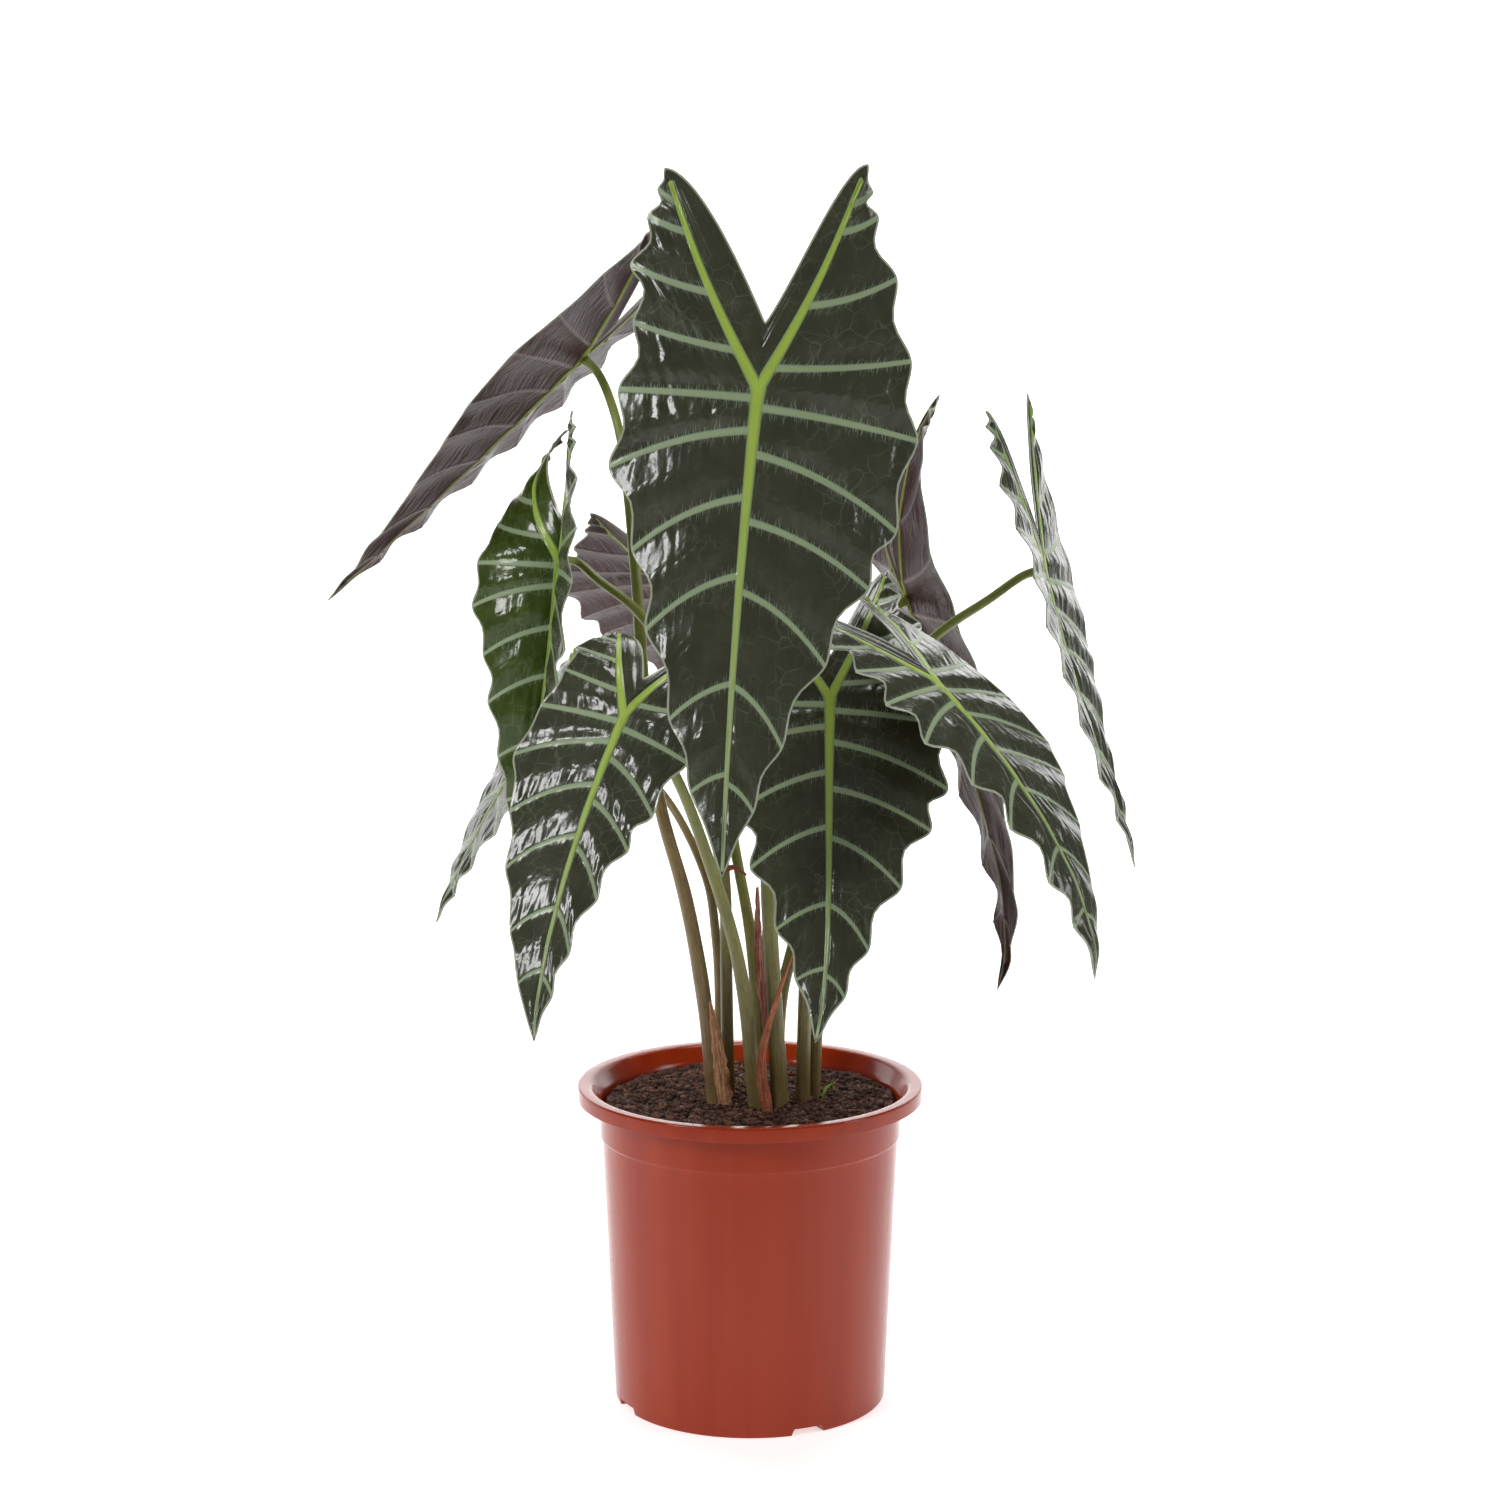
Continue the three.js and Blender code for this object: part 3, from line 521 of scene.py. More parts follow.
# `junction` is where stalk and blade meet, `along` the way the midrib sets off, `facing` the upper side's
# way. Angles are in degrees: a positive bend droops, a positive fold lifts a half towards its upper side.
LEAVES = [{**PLAIN_BLADE, **leaf} for leaf in [
    dict(name="front_tall", length=246, junction=[4, -110, 395], along=[-0.11, -0.08, -1], facing=[0, -1, 0],
         scallop=0.03, bend=-8, back=-8, sweep=4, leftFold=-2, rightFold=-2, leftCurl=-14, rightCurl=-14,
         root=[18, -12], stalkWidths=[9.6, 8.6, 7.2, 6, 5], stalkPoints=[[14, -13, 43], [10, -15, 119],
         [7, -12, 227], [5, 16, 296], [5, 10, 342], [5, -42, 386]]),
    dict(name="left_high", length=200, junction=[-92, 54, 403], along=[-0.65, 0.12, -0.64],
         facing=[-0.71, -0.08, 0.74], width=0.88, scallop=0.03, bend=-3, back=12, sweep=4, leftFold=-14,
         rightFold=30, rightCurl=5, root=[-18, -8], stalkWidths=[9, 8, 6.8, 6, 4.6], brown=0.9,
         stalkPoints=[[-25, -8, 55], [-35, -6, 112], [-49, -2, 164], [-57, 6, 220], [-61, 15, 274],
         [-66, 28, 327], [-72, 40, 366]]),
    # This leaf's left half carries painted backlight: a lighter yellow-green, as where light shines through it
    # from behind.
    dict(name="left_middle", length=165, junction=[-103, 4, 297], along=[-0.08, -0.15, -0.98],
         facing=[-0.72, -0.62, -0.05], width=0.93, leftWidth=1.08, scallop=0.035, bend=8, back=5, sweep=-22,
         leftFold=58, rightFold=30, leftCurl=-48, leftLobeFold=-84, root=[-12, 3],
         stalkWidths=[7.6, 7, 6.2, 5.4, 4.6], painted_backlight=1, brown=0.3, stalkPoints=[[-13, 4, 70], [-14, 5, 120],
         [-22, 4, 188], [-43, 0, 243], [-61, -1, 270], [-82, 5, 286]]),
    dict(name="left_front", length=178, junction=[-65, -88, 226], along=[-0.36, -0.37, -0.8],
         facing=[-0.3, -0.97, 0.41], width=0.9, leftWidth=1.05, rightWidth=0.77, leftFull=0.13,
         rightFull=-0.2, back=-75, sweep=14, tipSweep=7, leftFold=-8, rightFold=-8, root=[5, -20],
         stalkWidths=[8.6, 7.8, 6.8, 6, 5], stalkPoints=[[-6, -24, 80], [-22, -36, 139], [-39, -54, 188],
         [-54, -70, 215]]),
    dict(name="centre_front", length=184, junction=[42, -53, 230], along=[-0.02, -0.43, -0.82],
         facing=[0.03, -1, 0.1], leftFull=0.18, rightFull=0.07, scallop=0.04, bend=7, back=-34, sweep=3,
         tipSweep=-14, root=[29, -6], stalkWidths=[8, 7.4, 6.6, 5.8, 5], stalkPoints=[[30, -8, 57],
         [33, -11, 116], [38, -16, 176], [42, -28, 214]]),
    dict(name="right_front", length=180, junction=[96, -91, 244], along=[0.58, -0.5, -0.56],
         facing=[0.43, -0.62, 0.7], width=0.86, leftFull=-0.17, rightFull=0.19, scallop=0.045, bend=29,
         tipBend=35, back=-15, leftFold=7, rightFold=-18, root=[35, 6], stalkWidths=[7.6, 7, 6, 5.4, 4.6],
         stalkPoints=[[37, 4, 39], [46, -2, 112], [68, -8, 168], [94, -18, 200], [105, -38, 218],
         [104, -64, 232]]),
    dict(name="right_far", length=168, junction=[159, 1, 292], along=[0.22, -0.19, -0.97],
         facing=[0.92, -0.46, 0.25], width=0.86, lobe=1.2, bend=-11, tipBend=14, back=5, sweep=8, leftFold=15,
         rightFold=-6, leftLobeFold=-18, root=[14, 6], stalkWidths=[7.8, 7.2, 6.6, 6, 5.2, 4.8],
         stalkPoints=[[17, 8, 51], [22, 10, 75], [44, 15, 147], [71, 15, 213], [99, 10, 253], [130, 5, 276]]),
    dict(name="right_back", length=240, junction=[89, 86, 266], along=[0.37, 0.09, -0.92],
         facing=[0.76, 0.66, 0.15], width=0.62, swapped=True, bend=16, back=62, sweep=-11, tipSweep=47,
         leftFold=-15, rightFold=24, root=[1, 14], stalkWidths=[7.8, 7, 6.2, 5.4, 4.6],
         stalkPoints=[[6, 18, 50], [17, 30, 133], [39, 48, 202], [62, 70, 248]]),
    dict(name="back", length=168, junction=[-48, 120, 274], along=[0.12, 0.83, -0.55], facing=[0, 0.35, 0.93],
         width=1.05, bend=6, root=[6, -5], stalkWidths=[7.4, 6.6, 5.8, 5.4, 4.6], stalkPoints=[[4, -4, 47],
         [0, 2, 92], [-8, 15, 135], [-16, 36, 180], [-28, 75, 232]]),
    dict(name="left_low", length=136, junction=[-112, 76, 203], along=[-0.53, -0.16, -0.72],
         facing=[-0.72, -0.27, 0.59], width=0.95, lobe=0.7, bend=14, sweep=3, root=[-19, 8],
         stalkWidths=[6, 5.6, 4.8, 4.4, 4], brown=0.85, stalkPoints=[[-17, 12, 57], [-19, 12, 89],
         [-24, 12, 120], [-46, 26, 162], [-85, 66, 190]]),
]]


def leaf_axes(leaf):
    """The way the midrib sets off from the junction, and the way the upper side faces there."""
    along = unit(leaf["along"])
    out = np.array(leaf["facing"], float)
    return along, unit(out - out @ along * along)


def vein_rows(leaf, side):
    """The vein ends of one half, made wider, fuller in the middle or longer in the lobe."""
    rows = (RIGHT_VEINS if (side < 0) == leaf["swapped"] else LEFT_VEINS).copy()
    half = "left" if side < 0 else "right"
    width, full = leaf[half + "Width"], leaf[half + "Full"]
    s = np.clip(rows[:, 1], 0, 1)
    rows[:, 2] *= width * (1 + full * 4 * s * (1 - s))
    rows[:, 1] = np.where(rows[:, 1] < 0, rows[:, 1] * leaf["lobe"], rows[:, 1])
    return rows


def margin(rows, q, scallop):
    """The outline at vein number q: a Catmull-Rom curve through the vein ends, pulled inwards between two
    ends by half of one minus a cosine, once for each vein."""
    ends, last = rows[:, 1:], len(rows) - 1
    along = unit(spline(ends, np.minimum(q + 0.001, last)) - spline(ends, np.maximum(q - 0.001, 0)))
    fade = np.clip(np.minimum(0.25 + 0.45 * (q - 0.5), (last - q) / 3), 0, 1)
    dip = scallop * fade * (1 - np.cos(2 * np.pi * q)) / 2
    return spline(ends, q) + dip[:, None] * np.stack([along[:, 1], -along[:, 0]], -1)


def rib_line(rows, root):
    """The lobe's own rib for a root below 0, slightly bowed, and the straight midrib above it."""
    f = np.clip(-root, 0, 1)[:, None]
    lobe = rows[0, 1:] * LOBE_RIB_END * f + np.array([0, LOBE_BOW]) * np.sin(np.pi * f)
    midrib = np.stack([root * TIP_RIB_END, np.zeros_like(root)], -1)
    return np.where(root[:, None] < 0, lobe, midrib)


def notch_edge(rows, f):
    """The edge between the lobes: a cubic Bezier curve from the notch's bottom, which it leaves steeply, out
    to the lobe's end."""
    f = f[:, None]
    end = rows[0, 1:]
    a, b = np.array([-NOTCH_DEPTH, 0]), np.array([-NOTCH_DEPTH - 0.1, 0.055])
    c = np.array([end[0] - 0.005, end[1] * 0.72])
    return (1 - f) ** 3 * a + 3 * (1 - f) ** 2 * f * b + 3 * (1 - f) * f * f * c + f ** 3 * end


def vein_line(start, end, share):
    """A side vein from rib to margin: a quadratic curve that sets off outwards and then turns forward."""
    knee = start + (end - start) * VEIN_KNEE
    return (1 - share) ** 2 * start + 2 * (1 - share) * share * knee + share ** 2 * end


def flat_half(leaf, side):
    """Half a blade laid flat, row by row from the notch round the lobe to the tip: places in blade lengths,
    vein number of each row (negative on the notch's side of the lobe rib), number of rows on that side, and
    the half's table of veins. A row on the notch's side runs straight from rib to edge, and one on the outer
    side follows a quadratic arc, as the side veins do."""
    rows = vein_rows(leaf, side)
    place = (np.arange(len(rows) - 1)[:, None] + ROW_PLACES).ravel()
    number = np.concatenate([place, [len(rows) - 1.0]])
    own, other = (np.interp(number, np.arange(len(rows)), table[:, 0])
                  for table in (rows, LEFT_VEINS if rows[4, 0] == RIGHT_VEINS[4, 0] else RIGHT_VEINS))
    first = int(np.argmax((own > 0) & (other > 0)))  # both halves have as many rows from here to the tip
    lobe = own[own < 0]
    keep = np.concatenate([np.arange(len(lobe)), np.arange(first, len(own))])
    root = np.insert(own[keep], len(lobe), 0.0)
    shared = np.insert((own[keep] + other[keep]) / 2, len(lobe), 0.0)
    number = np.interp(root, rows[:, 0], np.arange(len(rows)))
    v = COLUMN_PLACES[None, :, None]

    outer = vein_line(rib_line(rows, root)[:, None], margin(rows, number, leaf["scallop"])[:, None], v)
    slide = np.where(root > 0, (shared - root) * TIP_RIB_END, 0)
    outer[..., 0] += slide[:, None] * (1 - smooth(0, 0.05, COLUMN_PLACES))
    lobe_root = root[root <= 0][::-1]
    from_rib, to_edge = rib_line(rows, lobe_root), notch_edge(rows, -lobe_root)
    inner = from_rib[:, None] + v * (to_edge - from_rib)[:, None]

    flat = np.concatenate([inner, outer[1:]])
    numbers = np.concatenate([lobe_root - 1, number[1:]])
    return flat, numbers, len(lobe_root), rows


def distance_to(points, line):
    """Distance of flat points to a polyline."""
    a, b = line[:-1], line[1:]
    ab = b - a
    ap = points[:, None] - a
    f = np.clip((ap * ab).sum(-1) / np.maximum((ab * ab).sum(-1), 1e-12), 0, 1)
    return np.linalg.norm(ap - f[..., None] * ab, axis=-1).min(axis=1)


def vein_distances(leaf, flat, numbers, rows):
    """Millimetres from each point to the nearest main rib, side vein and margin."""
    length, shape = leaf["length"], flat.shape[:2]
    points = flat.reshape(-1, 2)
    lobe = rib_line(rows, -np.linspace(0, 1, 24)[::-1])
    middle = rib_line(rows, np.linspace(0, 1, 24))
    rib = distance_to(points, np.vstack([lobe, middle])).reshape(shape) * length
    side = np.full(points.shape[0], FAR_OFF)
    share = np.linspace(0, 1, 14)[:, None]
    for k, root in enumerate(rows[1:-1, 0], start=1):
        near = np.abs(np.repeat(numbers, shape[1]) - k) < 0.75
        start = rib_line(rows, np.array([root]))[0]
        end = margin(rows, np.array([float(k)]), leaf["scallop"])[0]
        line = vein_line(start, end, share)
        side[near] = np.minimum(side[near], distance_to(points[near], line) * length)
    side = side.reshape(shape)
    outline = flat[:, -1]
    edge = np.full(points.shape[0], FAR_OFF)
    close = np.tile(COLUMN_PLACES, shape[0]) > 0.8
    row = np.repeat(np.arange(shape[0]), shape[1])
    batch = 24  # rows measured at a time, against the margin beside them
    for step in range(0, shape[0], batch):
        picked = close & (row >= step) & (row < step + batch)
        if picked.any():
            beside = outline[max(0, step - batch // 2):step + batch + batch // 2 + 1]
            edge[picked] = distance_to(points[picked], beside) * length
    return rib, side, edge.reshape(shape)


def relief(leaf, flat, numbers, inner_rows, rows):
    """Heights in millimetres: the blade's middle over its flat form, the upper skin over the middle and the
    lower skin under it. Then the marks for the materials. Between two side veins the blade swells upwards, as
    a squared sine from vein to vein and a sine from rib to margin. Puckers ride on it: ridges that cross the
    gap between two veins. Ribs and veins are half rounds, low above and high below."""
    length = leaf["length"]
    rib, side, edge = vein_distances(leaf, flat, numbers, rows)
    inner = (np.arange(len(numbers)) < inner_rows)[:, None]
    v = COLUMN_PLACES[None, :]
    q = numbers[:, None]
    size = length / FULL_LENGTH
    seed = name_seed(leaf["name"])
    world = flat * length
    reach = np.linalg.norm(flat[:, -1] - flat[:, 0], axis=-1)[:, None] * length
    along = v * reach

    rib_half = size ** 0.5 * np.where(
        flat[..., 0] > 0, mix(3.5, 0.8, np.clip(flat[..., 0], 0, 1) ** 0.55),
        mix(3.0, 1.0, np.clip(-flat[..., 0] / LOBE_SPAN, 0, 1) ** 0.7))
    taper = np.where(flat[..., 0] > 0, mix(1.0, 0.55, flat[..., 0]), 0.9)
    side_half = size ** 0.5 * mix(2.0, 1.25, v) * taper
    rib_share, side_share = rib / rib_half, np.where(inner, 9, side / side_half)

    gap = np.where(inner, 0.35, 1.0)
    swell = np.sin(np.pi * (q % 1)) ** 2 * np.sin(np.pi * np.clip(v, 0, 1) ** 0.85) * gap
    swell = np.where(inner, 0.25 * np.sin(np.pi * v), swell)
    last = len(rows) - 1
    frill = np.where(inner, 0, np.cos(2 * np.pi * q)) * v ** 4 * np.clip(np.minimum(q, last - q), 0, 1)
    broad = lattice_noise(world, BROAD_CELL, seed) * smooth(0, 12, rib)
    grain = np.stack([along / RIDGE_SPACING, q * 1.6 + 0 * along], -1)
    ridges = lattice_noise(grain, 1.0, seed + 1) * (0.5 + 0.5 * lattice_noise(world, 14, seed + 2))
    clear = smooth(1.0, 3.2, rib_share) * smooth(0.8, 2.6, side_share) * smooth(0, 5, edge)
    middle = (SWELL * swell - FRILL * frill + BROAD * broad + RIDGES * ridges * clear) * size

    def half_round(share):
        return np.sqrt(np.clip(1 - share ** 2, 0, 1))

    lip = np.clip(1 - edge / 1.2, 0, 1)
    upper = HALF_SHEET + 0.45 * half_round(rib_share) + 0.22 * half_round(side_share) + 0.12 * lip
    upper -= 0.18 * np.exp(-((rib_share - 1.25) / 0.2) ** 2)  # a furrow along each side of the rib
    lower = HALF_SHEET + 0.45 * rib_half * half_round(rib_share / 0.8)
    lower = lower + 0.65 * half_round(side_share) * size + 0.12 * lip
    return middle, upper, lower, dict(
        rib=rib_share, vein=side_share, edge=edge, along=along, tip=np.clip(flat[..., 0], 0, 1) ** 1.4,
        across=np.where(inner, 9.0, side * np.sign((q % 1) - 0.5)))


def on_blade(leaf, side, flat, lift):
    """Flat points bent into place: along a midrib whose heading droops and swings with its own fraction, then
    out along an arc that leaves it at the fold angle and curls, and last up the surface's normal by the
    lift."""
    rad = math.radians
    along, out = leaf_axes(leaf)
    axes = np.stack([np.cross(out, along), along, out])

    def heading(s):
        f, g = np.clip(s, 0, 1), np.clip(-s, 0, 1) / LOBE_SPAN
        droop = rad(leaf["bend"]) * f + rad(leaf["tipBend"]) * f ** 4 + rad(leaf["back"]) * g
        swing = rad(leaf["sweep"]) * f + rad(leaf["tipSweep"]) * f ** 4
        forward = np.stack([np.sin(swing) * np.cos(droop), np.cos(swing) * np.cos(droop), -np.sin(droop)], -1)
        across = np.stack([np.cos(swing), -np.sin(swing), 0 * swing], -1)
        return forward, across, np.cross(across, forward)

    s, t = flat[..., 0], flat[..., 1]
    ticks = np.linspace(-0.7, 1.0, 681)
    forward = heading((ticks[1:] + ticks[:-1]) / 2)[0]
    line = np.vstack([np.zeros(3), np.cumsum(forward * np.diff(ticks)[:, None], axis=0)])
    line -= np.array([np.interp(0, ticks, line[:, k]) for k in range(3)])
    centre = np.stack([np.interp(s, ticks, line[:, k]) for k in range(3)], -1)
    _, across, up = heading(s)

    reach = t * leaf["width"]
    lobe_share = np.clip(-s, 0, 1) / LOBE_SPAN
    if side < 0:
        fold, curl = rad(leaf["leftFold"]) + rad(leaf["leftLobeFold"]) * lobe_share, leaf["leftCurl"]
    else:
        fold, curl = rad(leaf["rightFold"]) + 0 * s, leaf["rightCurl"]
    curl = rad(curl) / HALF_WIDTH or TINY
    lean = fold + curl * reach
    centre = centre + across * (side * (np.sin(lean) - np.sin(fold)) / curl)[..., None]
    centre = centre + up * ((np.cos(fold) - np.cos(lean)) / curl)[..., None]
    lean = lean * smooth(0, 0.012, reach)  # both halves share one normal on the midrib
    normal = up * np.cos(lean)[..., None] - side * across * np.sin(lean)[..., None]
    place = centre * leaf["length"] + normal * lift[..., None]
    return place @ axes + np.array(leaf["junction"]) + [0, 0, SOIL_LEVEL]


def build_blade(leaf, upper_material, under_material):
    """One leaf: two halves, each an upper and a lower skin joined along the margin, welded at the midrib."""
    places, quads, looks, values = [], [], [], {}
    first = 0
    for side in (-1, 1):
        flat, numbers, inner_rows, rows = flat_half(leaf, side)
        middle, upper, lower, marks = relief(leaf, flat, numbers, inner_rows, rows)
        n_rows, n_columns = flat.shape[:2]
        count = n_rows * n_columns
        places += [on_blade(leaf, side, flat, middle + upper).reshape(-1, 3),
                   on_blade(leaf, side, flat, middle - lower).reshape(-1, 3)]
        top = grid_faces(n_rows, n_columns, first)
        under = grid_faces(n_rows, n_columns, first + count)[:, ::-1]
        i = first + np.arange(n_rows) * n_columns + n_columns - 1
        rim = np.stack([i[1:], i[:-1], i[:-1] + count, i[1:] + count], -1)
        halves = [top, under, rim]
        quads += halves if side > 0 else [f[:, ::-1] for f in halves]
        looks += [np.zeros(len(top)), np.ones(len(under)), np.zeros(len(rim))]
        # Painted backlight: the left half of a leaf that asks for it is marked for a lighter yellow-green, as
        # where light shines through from behind.
        marks["painted_backlight"] = np.full(flat.shape[:2], leaf["painted_backlight"] * (side < 0))
        for key, value in marks.items():
            values.setdefault(key, []).extend([value.ravel(), value.ravel()])
        first += 2 * count
    points, quads = np.vstack(places), np.vstack(quads)
    values = {key: np.concatenate(v) for key, v in values.items()}

    # Points that fall together on the ribs become one, and faces left with fewer than three corners go.
    weld = 0.002
    _, keep, same = np.unique(np.round(points / weld).astype(np.int64), axis=0, return_index=True,
                              return_inverse=True)
    same = same.ravel()
    quads, points = same[quads], points[keep]
    values = {key: v[keep] for key, v in values.items()}
    ordered = np.sort(quads, axis=1)
    twice = (ordered[:, 1:] == ordered[:, :-1]).sum(axis=1)
    looks = np.concatenate(looks)
    whole, thin = twice == 0, twice == 1
    triangles = np.array([list(dict.fromkeys(face)) for face in quads[thin].tolist()], int).reshape(-1, 3)
    index = np.concatenate([looks[whole], looks[thin]])
    run = np.stack([values.pop("along"), values.pop("across")], -1) * MM
    piece(f"leaf_{leaf['name']}", points, quads[whole], triangles, [upper_material, under_material],
          f"blade_{leaf['name']}",
          {key: values[key] for key in ("rib", "vein", "edge", "tip", "painted_backlight")}, run, index)


# -------------------------------------------------------------------------------- stalks and sheaths

# How deep a stalk goes in the soil, and how far behind the junction it turns square and ends.
STALK_ROOT_DEPTH, STALK_ELBOW, STALK_END = 18, 12, 0.9

# A thin strip's spacing of points along and across, and its two faces from its middle.
RIBBON_STEP, RIBBON_COLUMNS, RIBBON_FACES = 1.2, 15, (0.175, -0.175)

SHEATHS = [
    dict(name="dry_sheath_front", pale="#d3a27a", deep="#8c5c38",
         path=[[-13, -15, -8], [-15, -16, 10], [-18, -15, 32], [-22, -14, 57]],
         widths=[8, 9, 7, 1.6], facing=[-0.3, -1, 0], turn=0, curl=70),
    dict(name="dry_sheath_tall", pale="#b87c66", deep="#6e3a2c",
         path=[[9, -23, 44], [7, -22, 62], [5, -21, 84], [4, -21, 122]],
         widths=[3, 5, 4.4, 1.6], facing=[0.3, -1, 0], turn=0, curl=90),
    dict(name="dry_sheath_twisted", pale="#cf8560", deep="#9a4f35",
         path=[[11, -27, -8], [7, -30, 20], [8, -28, 36], [15, -25, 60], [23, -22, 84]],
         widths=[6, 6, 4.4, 4, 1.6], facing=[0, -1, 0], turn=70, curl=90),
    dict(name="dry_sheath_scrap", pale="#a8604a", deep="#6e3528",
         path=[[-14, 0.8, 127], [-9, -2, 129], [-2, -3, 125]],
         widths=[3, 3, 1.4], facing=[0, -1, 0], turn=0, curl=60),
    dict(name="green_wing_left", pale="#c2cc6a", deep="#8f9c3a",
         path=[[-21, 7.6, 118], [-25, 8.5, 138], [-31, 9, 156], [-38, 8, 173]],
         widths=[3, 4.4, 4, 1.4], facing=[-0.5, -1, 0], turn=0, curl=70),
    dict(name="green_wing_right", pale="#c2cc6a", deep="#8f9c3a",
         path=[[-17, 1, 122], [-19, 0, 140], [-26, -1, 161]],
         widths=[3, 3.6, 1.4], facing=[0.3, -1, 0], turn=0, curl=70),
]

# Slot, roughness and how far the edges waver, for dead and for living sheaths.
DRY, GREEN = ("dry_sheath", 0.7, 0.4), ("green_sheath", 0.45, 0.2)

SEEDLING = dict(path=[[40, -6, -8], [40, -6, 2], [42, -7, 7], [47, -8, 10]], widths=[1.8, 1.8, 6, 1.2],
                facing=[-0.5, 0, 1], turn=0, curl=60)


def carried_axes(tangents, facing, turn=0):
    """The two directions across a path at each of its points: one stays as near as it can to `facing`, then
    both turn steadily about the path, by `turn` degrees from end to end."""
    depth = np.array(facing, float)
    depths = np.empty_like(tangents)
    for i, forward in enumerate(tangents):
        depth = unit(depth - depth @ forward * forward)
        depths[i] = depth
    angle = np.radians(turn * np.linspace(0, 1, len(tangents)))[:, None]
    across = np.cross(depths, tangents)
    turned = depths * np.cos(angle) + np.cross(tangents, depths) * np.sin(angle)
    return turned, np.cross(turned, tangents) if turn else across


def stalk_path(leaf):
    """The stalk's route: its own points, then square on to the blade's underside at the junction."""
    _, out = leaf_axes(leaf)
    junction = np.array(leaf["junction"], float)
    return [[*leaf["root"], -STALK_ROOT_DEPTH], *leaf["stalkPoints"], junction - out * STALK_ELBOW,
            junction - out * STALK_END]


def build_stalk(leaf, material, sides, step):
    """One stalk: a tube along its route. Its section is a circle with a shallow groove down the front, it
    swells into the blade by an exponential over its last millimetres, and it wavers a little in width."""
    places, tangents = route(stalk_path(leaf), step)
    depths, across = carried_axes(tangents, [0, -1, 0])
    count = len(places)
    far = lengths_along(places)
    radius = spread(leaf["stalkWidths"], count) / 2
    radius = radius * (1 + 0.035 * lattice_noise(np.stack([far, 0 * far], -1), 22, name_seed(leaf["name"])))
    radius = radius * (1 + 0.3 * np.exp(-(far[-1] - far) / 4))
    angle = circle(sides)
    groove = 1 - 0.06 * np.exp(-((angle - np.pi / 2) / 0.35) ** 2)[None, :]
    ring = radius[:, None] * groove
    points = (places[:, None] + across[:, None] * (ring * np.cos(angle))[..., None]
              + depths[:, None] * (ring * np.sin(angle))[..., None]).reshape(-1, 3)
    points = np.vstack([points, places[0], places[-1]]) + [0, 0, SOIL_LEVEL]
    quads, triangles = capped_tube(count, sides)
    turn_round = np.minimum(angle, 2 * np.pi - angle) * radius.mean() * 2
    height = points[:, 2] - SOIL_LEVEL
    brown = leaf["brown"] * (1 - smooth(150, 260, height)) + 0.35 * (1 - smooth(0, 30, height))
    piece(f"petiole_{leaf['name']}", points, quads, triangles, [material],
          f"stalk_{leaf['name']}", {"brown": np.clip(brown, 0, 1)}, capped_run(turn_round, far))


def build_ribbon(name, strip, material, node, ragged):
    """A thin curled strip along a path: its section is an arc that spans its `curl` in degrees, its two edges
    waver with noise, and its two faces stand a thickness apart and close round the edges."""
    places, tangents = route(strip["path"], RIBBON_STEP)
    depths, across = carried_axes(tangents, strip["facing"], strip["turn"])
    count, columns = len(places), RIBBON_COLUMNS
    width = spread(strip["widths"], count)
    far = lengths_along(places)
    seed = name_seed(name)
    share = np.linspace(-1, 1, columns)
    edge = np.stack([lattice_noise(np.stack([far, 0 * far + 9 * k], -1), 3.2, seed) for k in (0, 1)], -1)
    half = width[:, None] / 2 * (1 + ragged * 0.4 * np.where(share < 0, edge[:, :1], edge[:, 1:]))
    arc = math.radians(strip["curl"]) / 2
    wave = 0.35 * lattice_noise(np.stack(np.broadcast_arrays(far[:, None] / 5, share * 3), -1), 1.0, seed + 3)
    out = half * np.sin(arc * share) / math.sin(arc)
    rise = half * (np.cos(arc * share) - 1) / math.sin(arc) + wave * np.minimum(half, 1.5)
    flat = places[:, None] + across[:, None] * out[..., None]
    front, back = (flat + depths[:, None] * (rise + lift)[..., None] for lift in RIBBON_FACES)
    loop = np.concatenate([front, back[:, ::-1]], axis=1)
    points = np.vstack([loop.reshape(-1, 3), loop[0].mean(0), loop[-1].mean(0)]) + [0, 0, SOIL_LEVEL]
    quads, triangles = capped_tube(count, 2 * columns)
    run = capped_run(half.mean() * np.concatenate([share, share[::-1]]), far)
    piece(name, points, quads, triangles, [material], node, run=run)


# ------------------------------------------------------------------------------------------ soil


# How far the surface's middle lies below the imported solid's top, which leaves room for its lumps, and how
# much narrower the soil is at its foot.
SOIL_SINK, SOIL_TAPER = 1.2, 6.2
# Height, cell size and seed of each size of lump.
SOIL_LUMPS = ((1.3, 13, 3), (0.9, 5.5, 4), (0.55, 2.6, 5))
CRUMB_CORNERS = 12


def soil_height(x, y, roughness):
    """The soil's surface: nearly flat, with three sizes of smooth noise on it."""
    mound = np.interp(np.hypot(x, y) / SOIL_EDGE, [0, 0.6, 1], [0, -0.3, -0.5])
    at = np.stack([x, y], -1)
    lumps = sum(height * lattice_noise(at, cell, seed) for height, cell, seed in SOIL_LUMPS)
    return SOIL_LEVEL - SOIL_SINK + mound + roughness * lumps


def crumb_shape():
    """The twelve corners and twenty faces of an icosahedron."""
    g = (1 + 5 ** 0.5) / 2
    corners = unit([[-1, g, 0], [1, g, 0], [-1, -g, 0], [1, -g, 0], [0, -1, g], [0, 1, g], [0, -1, -g],
                    [0, 1, -g], [g, 0, -1], [g, 0, 1], [-g, 0, -1], [-g, 0, 1]])
    faces = np.array([[0, 11, 5], [0, 5, 1], [0, 1, 7], [0, 7, 10], [0, 10, 11], [1, 5, 9], [5, 11, 4],
                      [11, 10, 2], [10, 7, 6], [7, 1, 8], [3, 9, 4], [3, 4, 2], [3, 2, 6], [3, 6, 8],
                      [3, 8, 9], [4, 9, 5], [2, 4, 11], [6, 2, 10], [8, 6, 7], [9, 8, 1]])
    return corners, faces


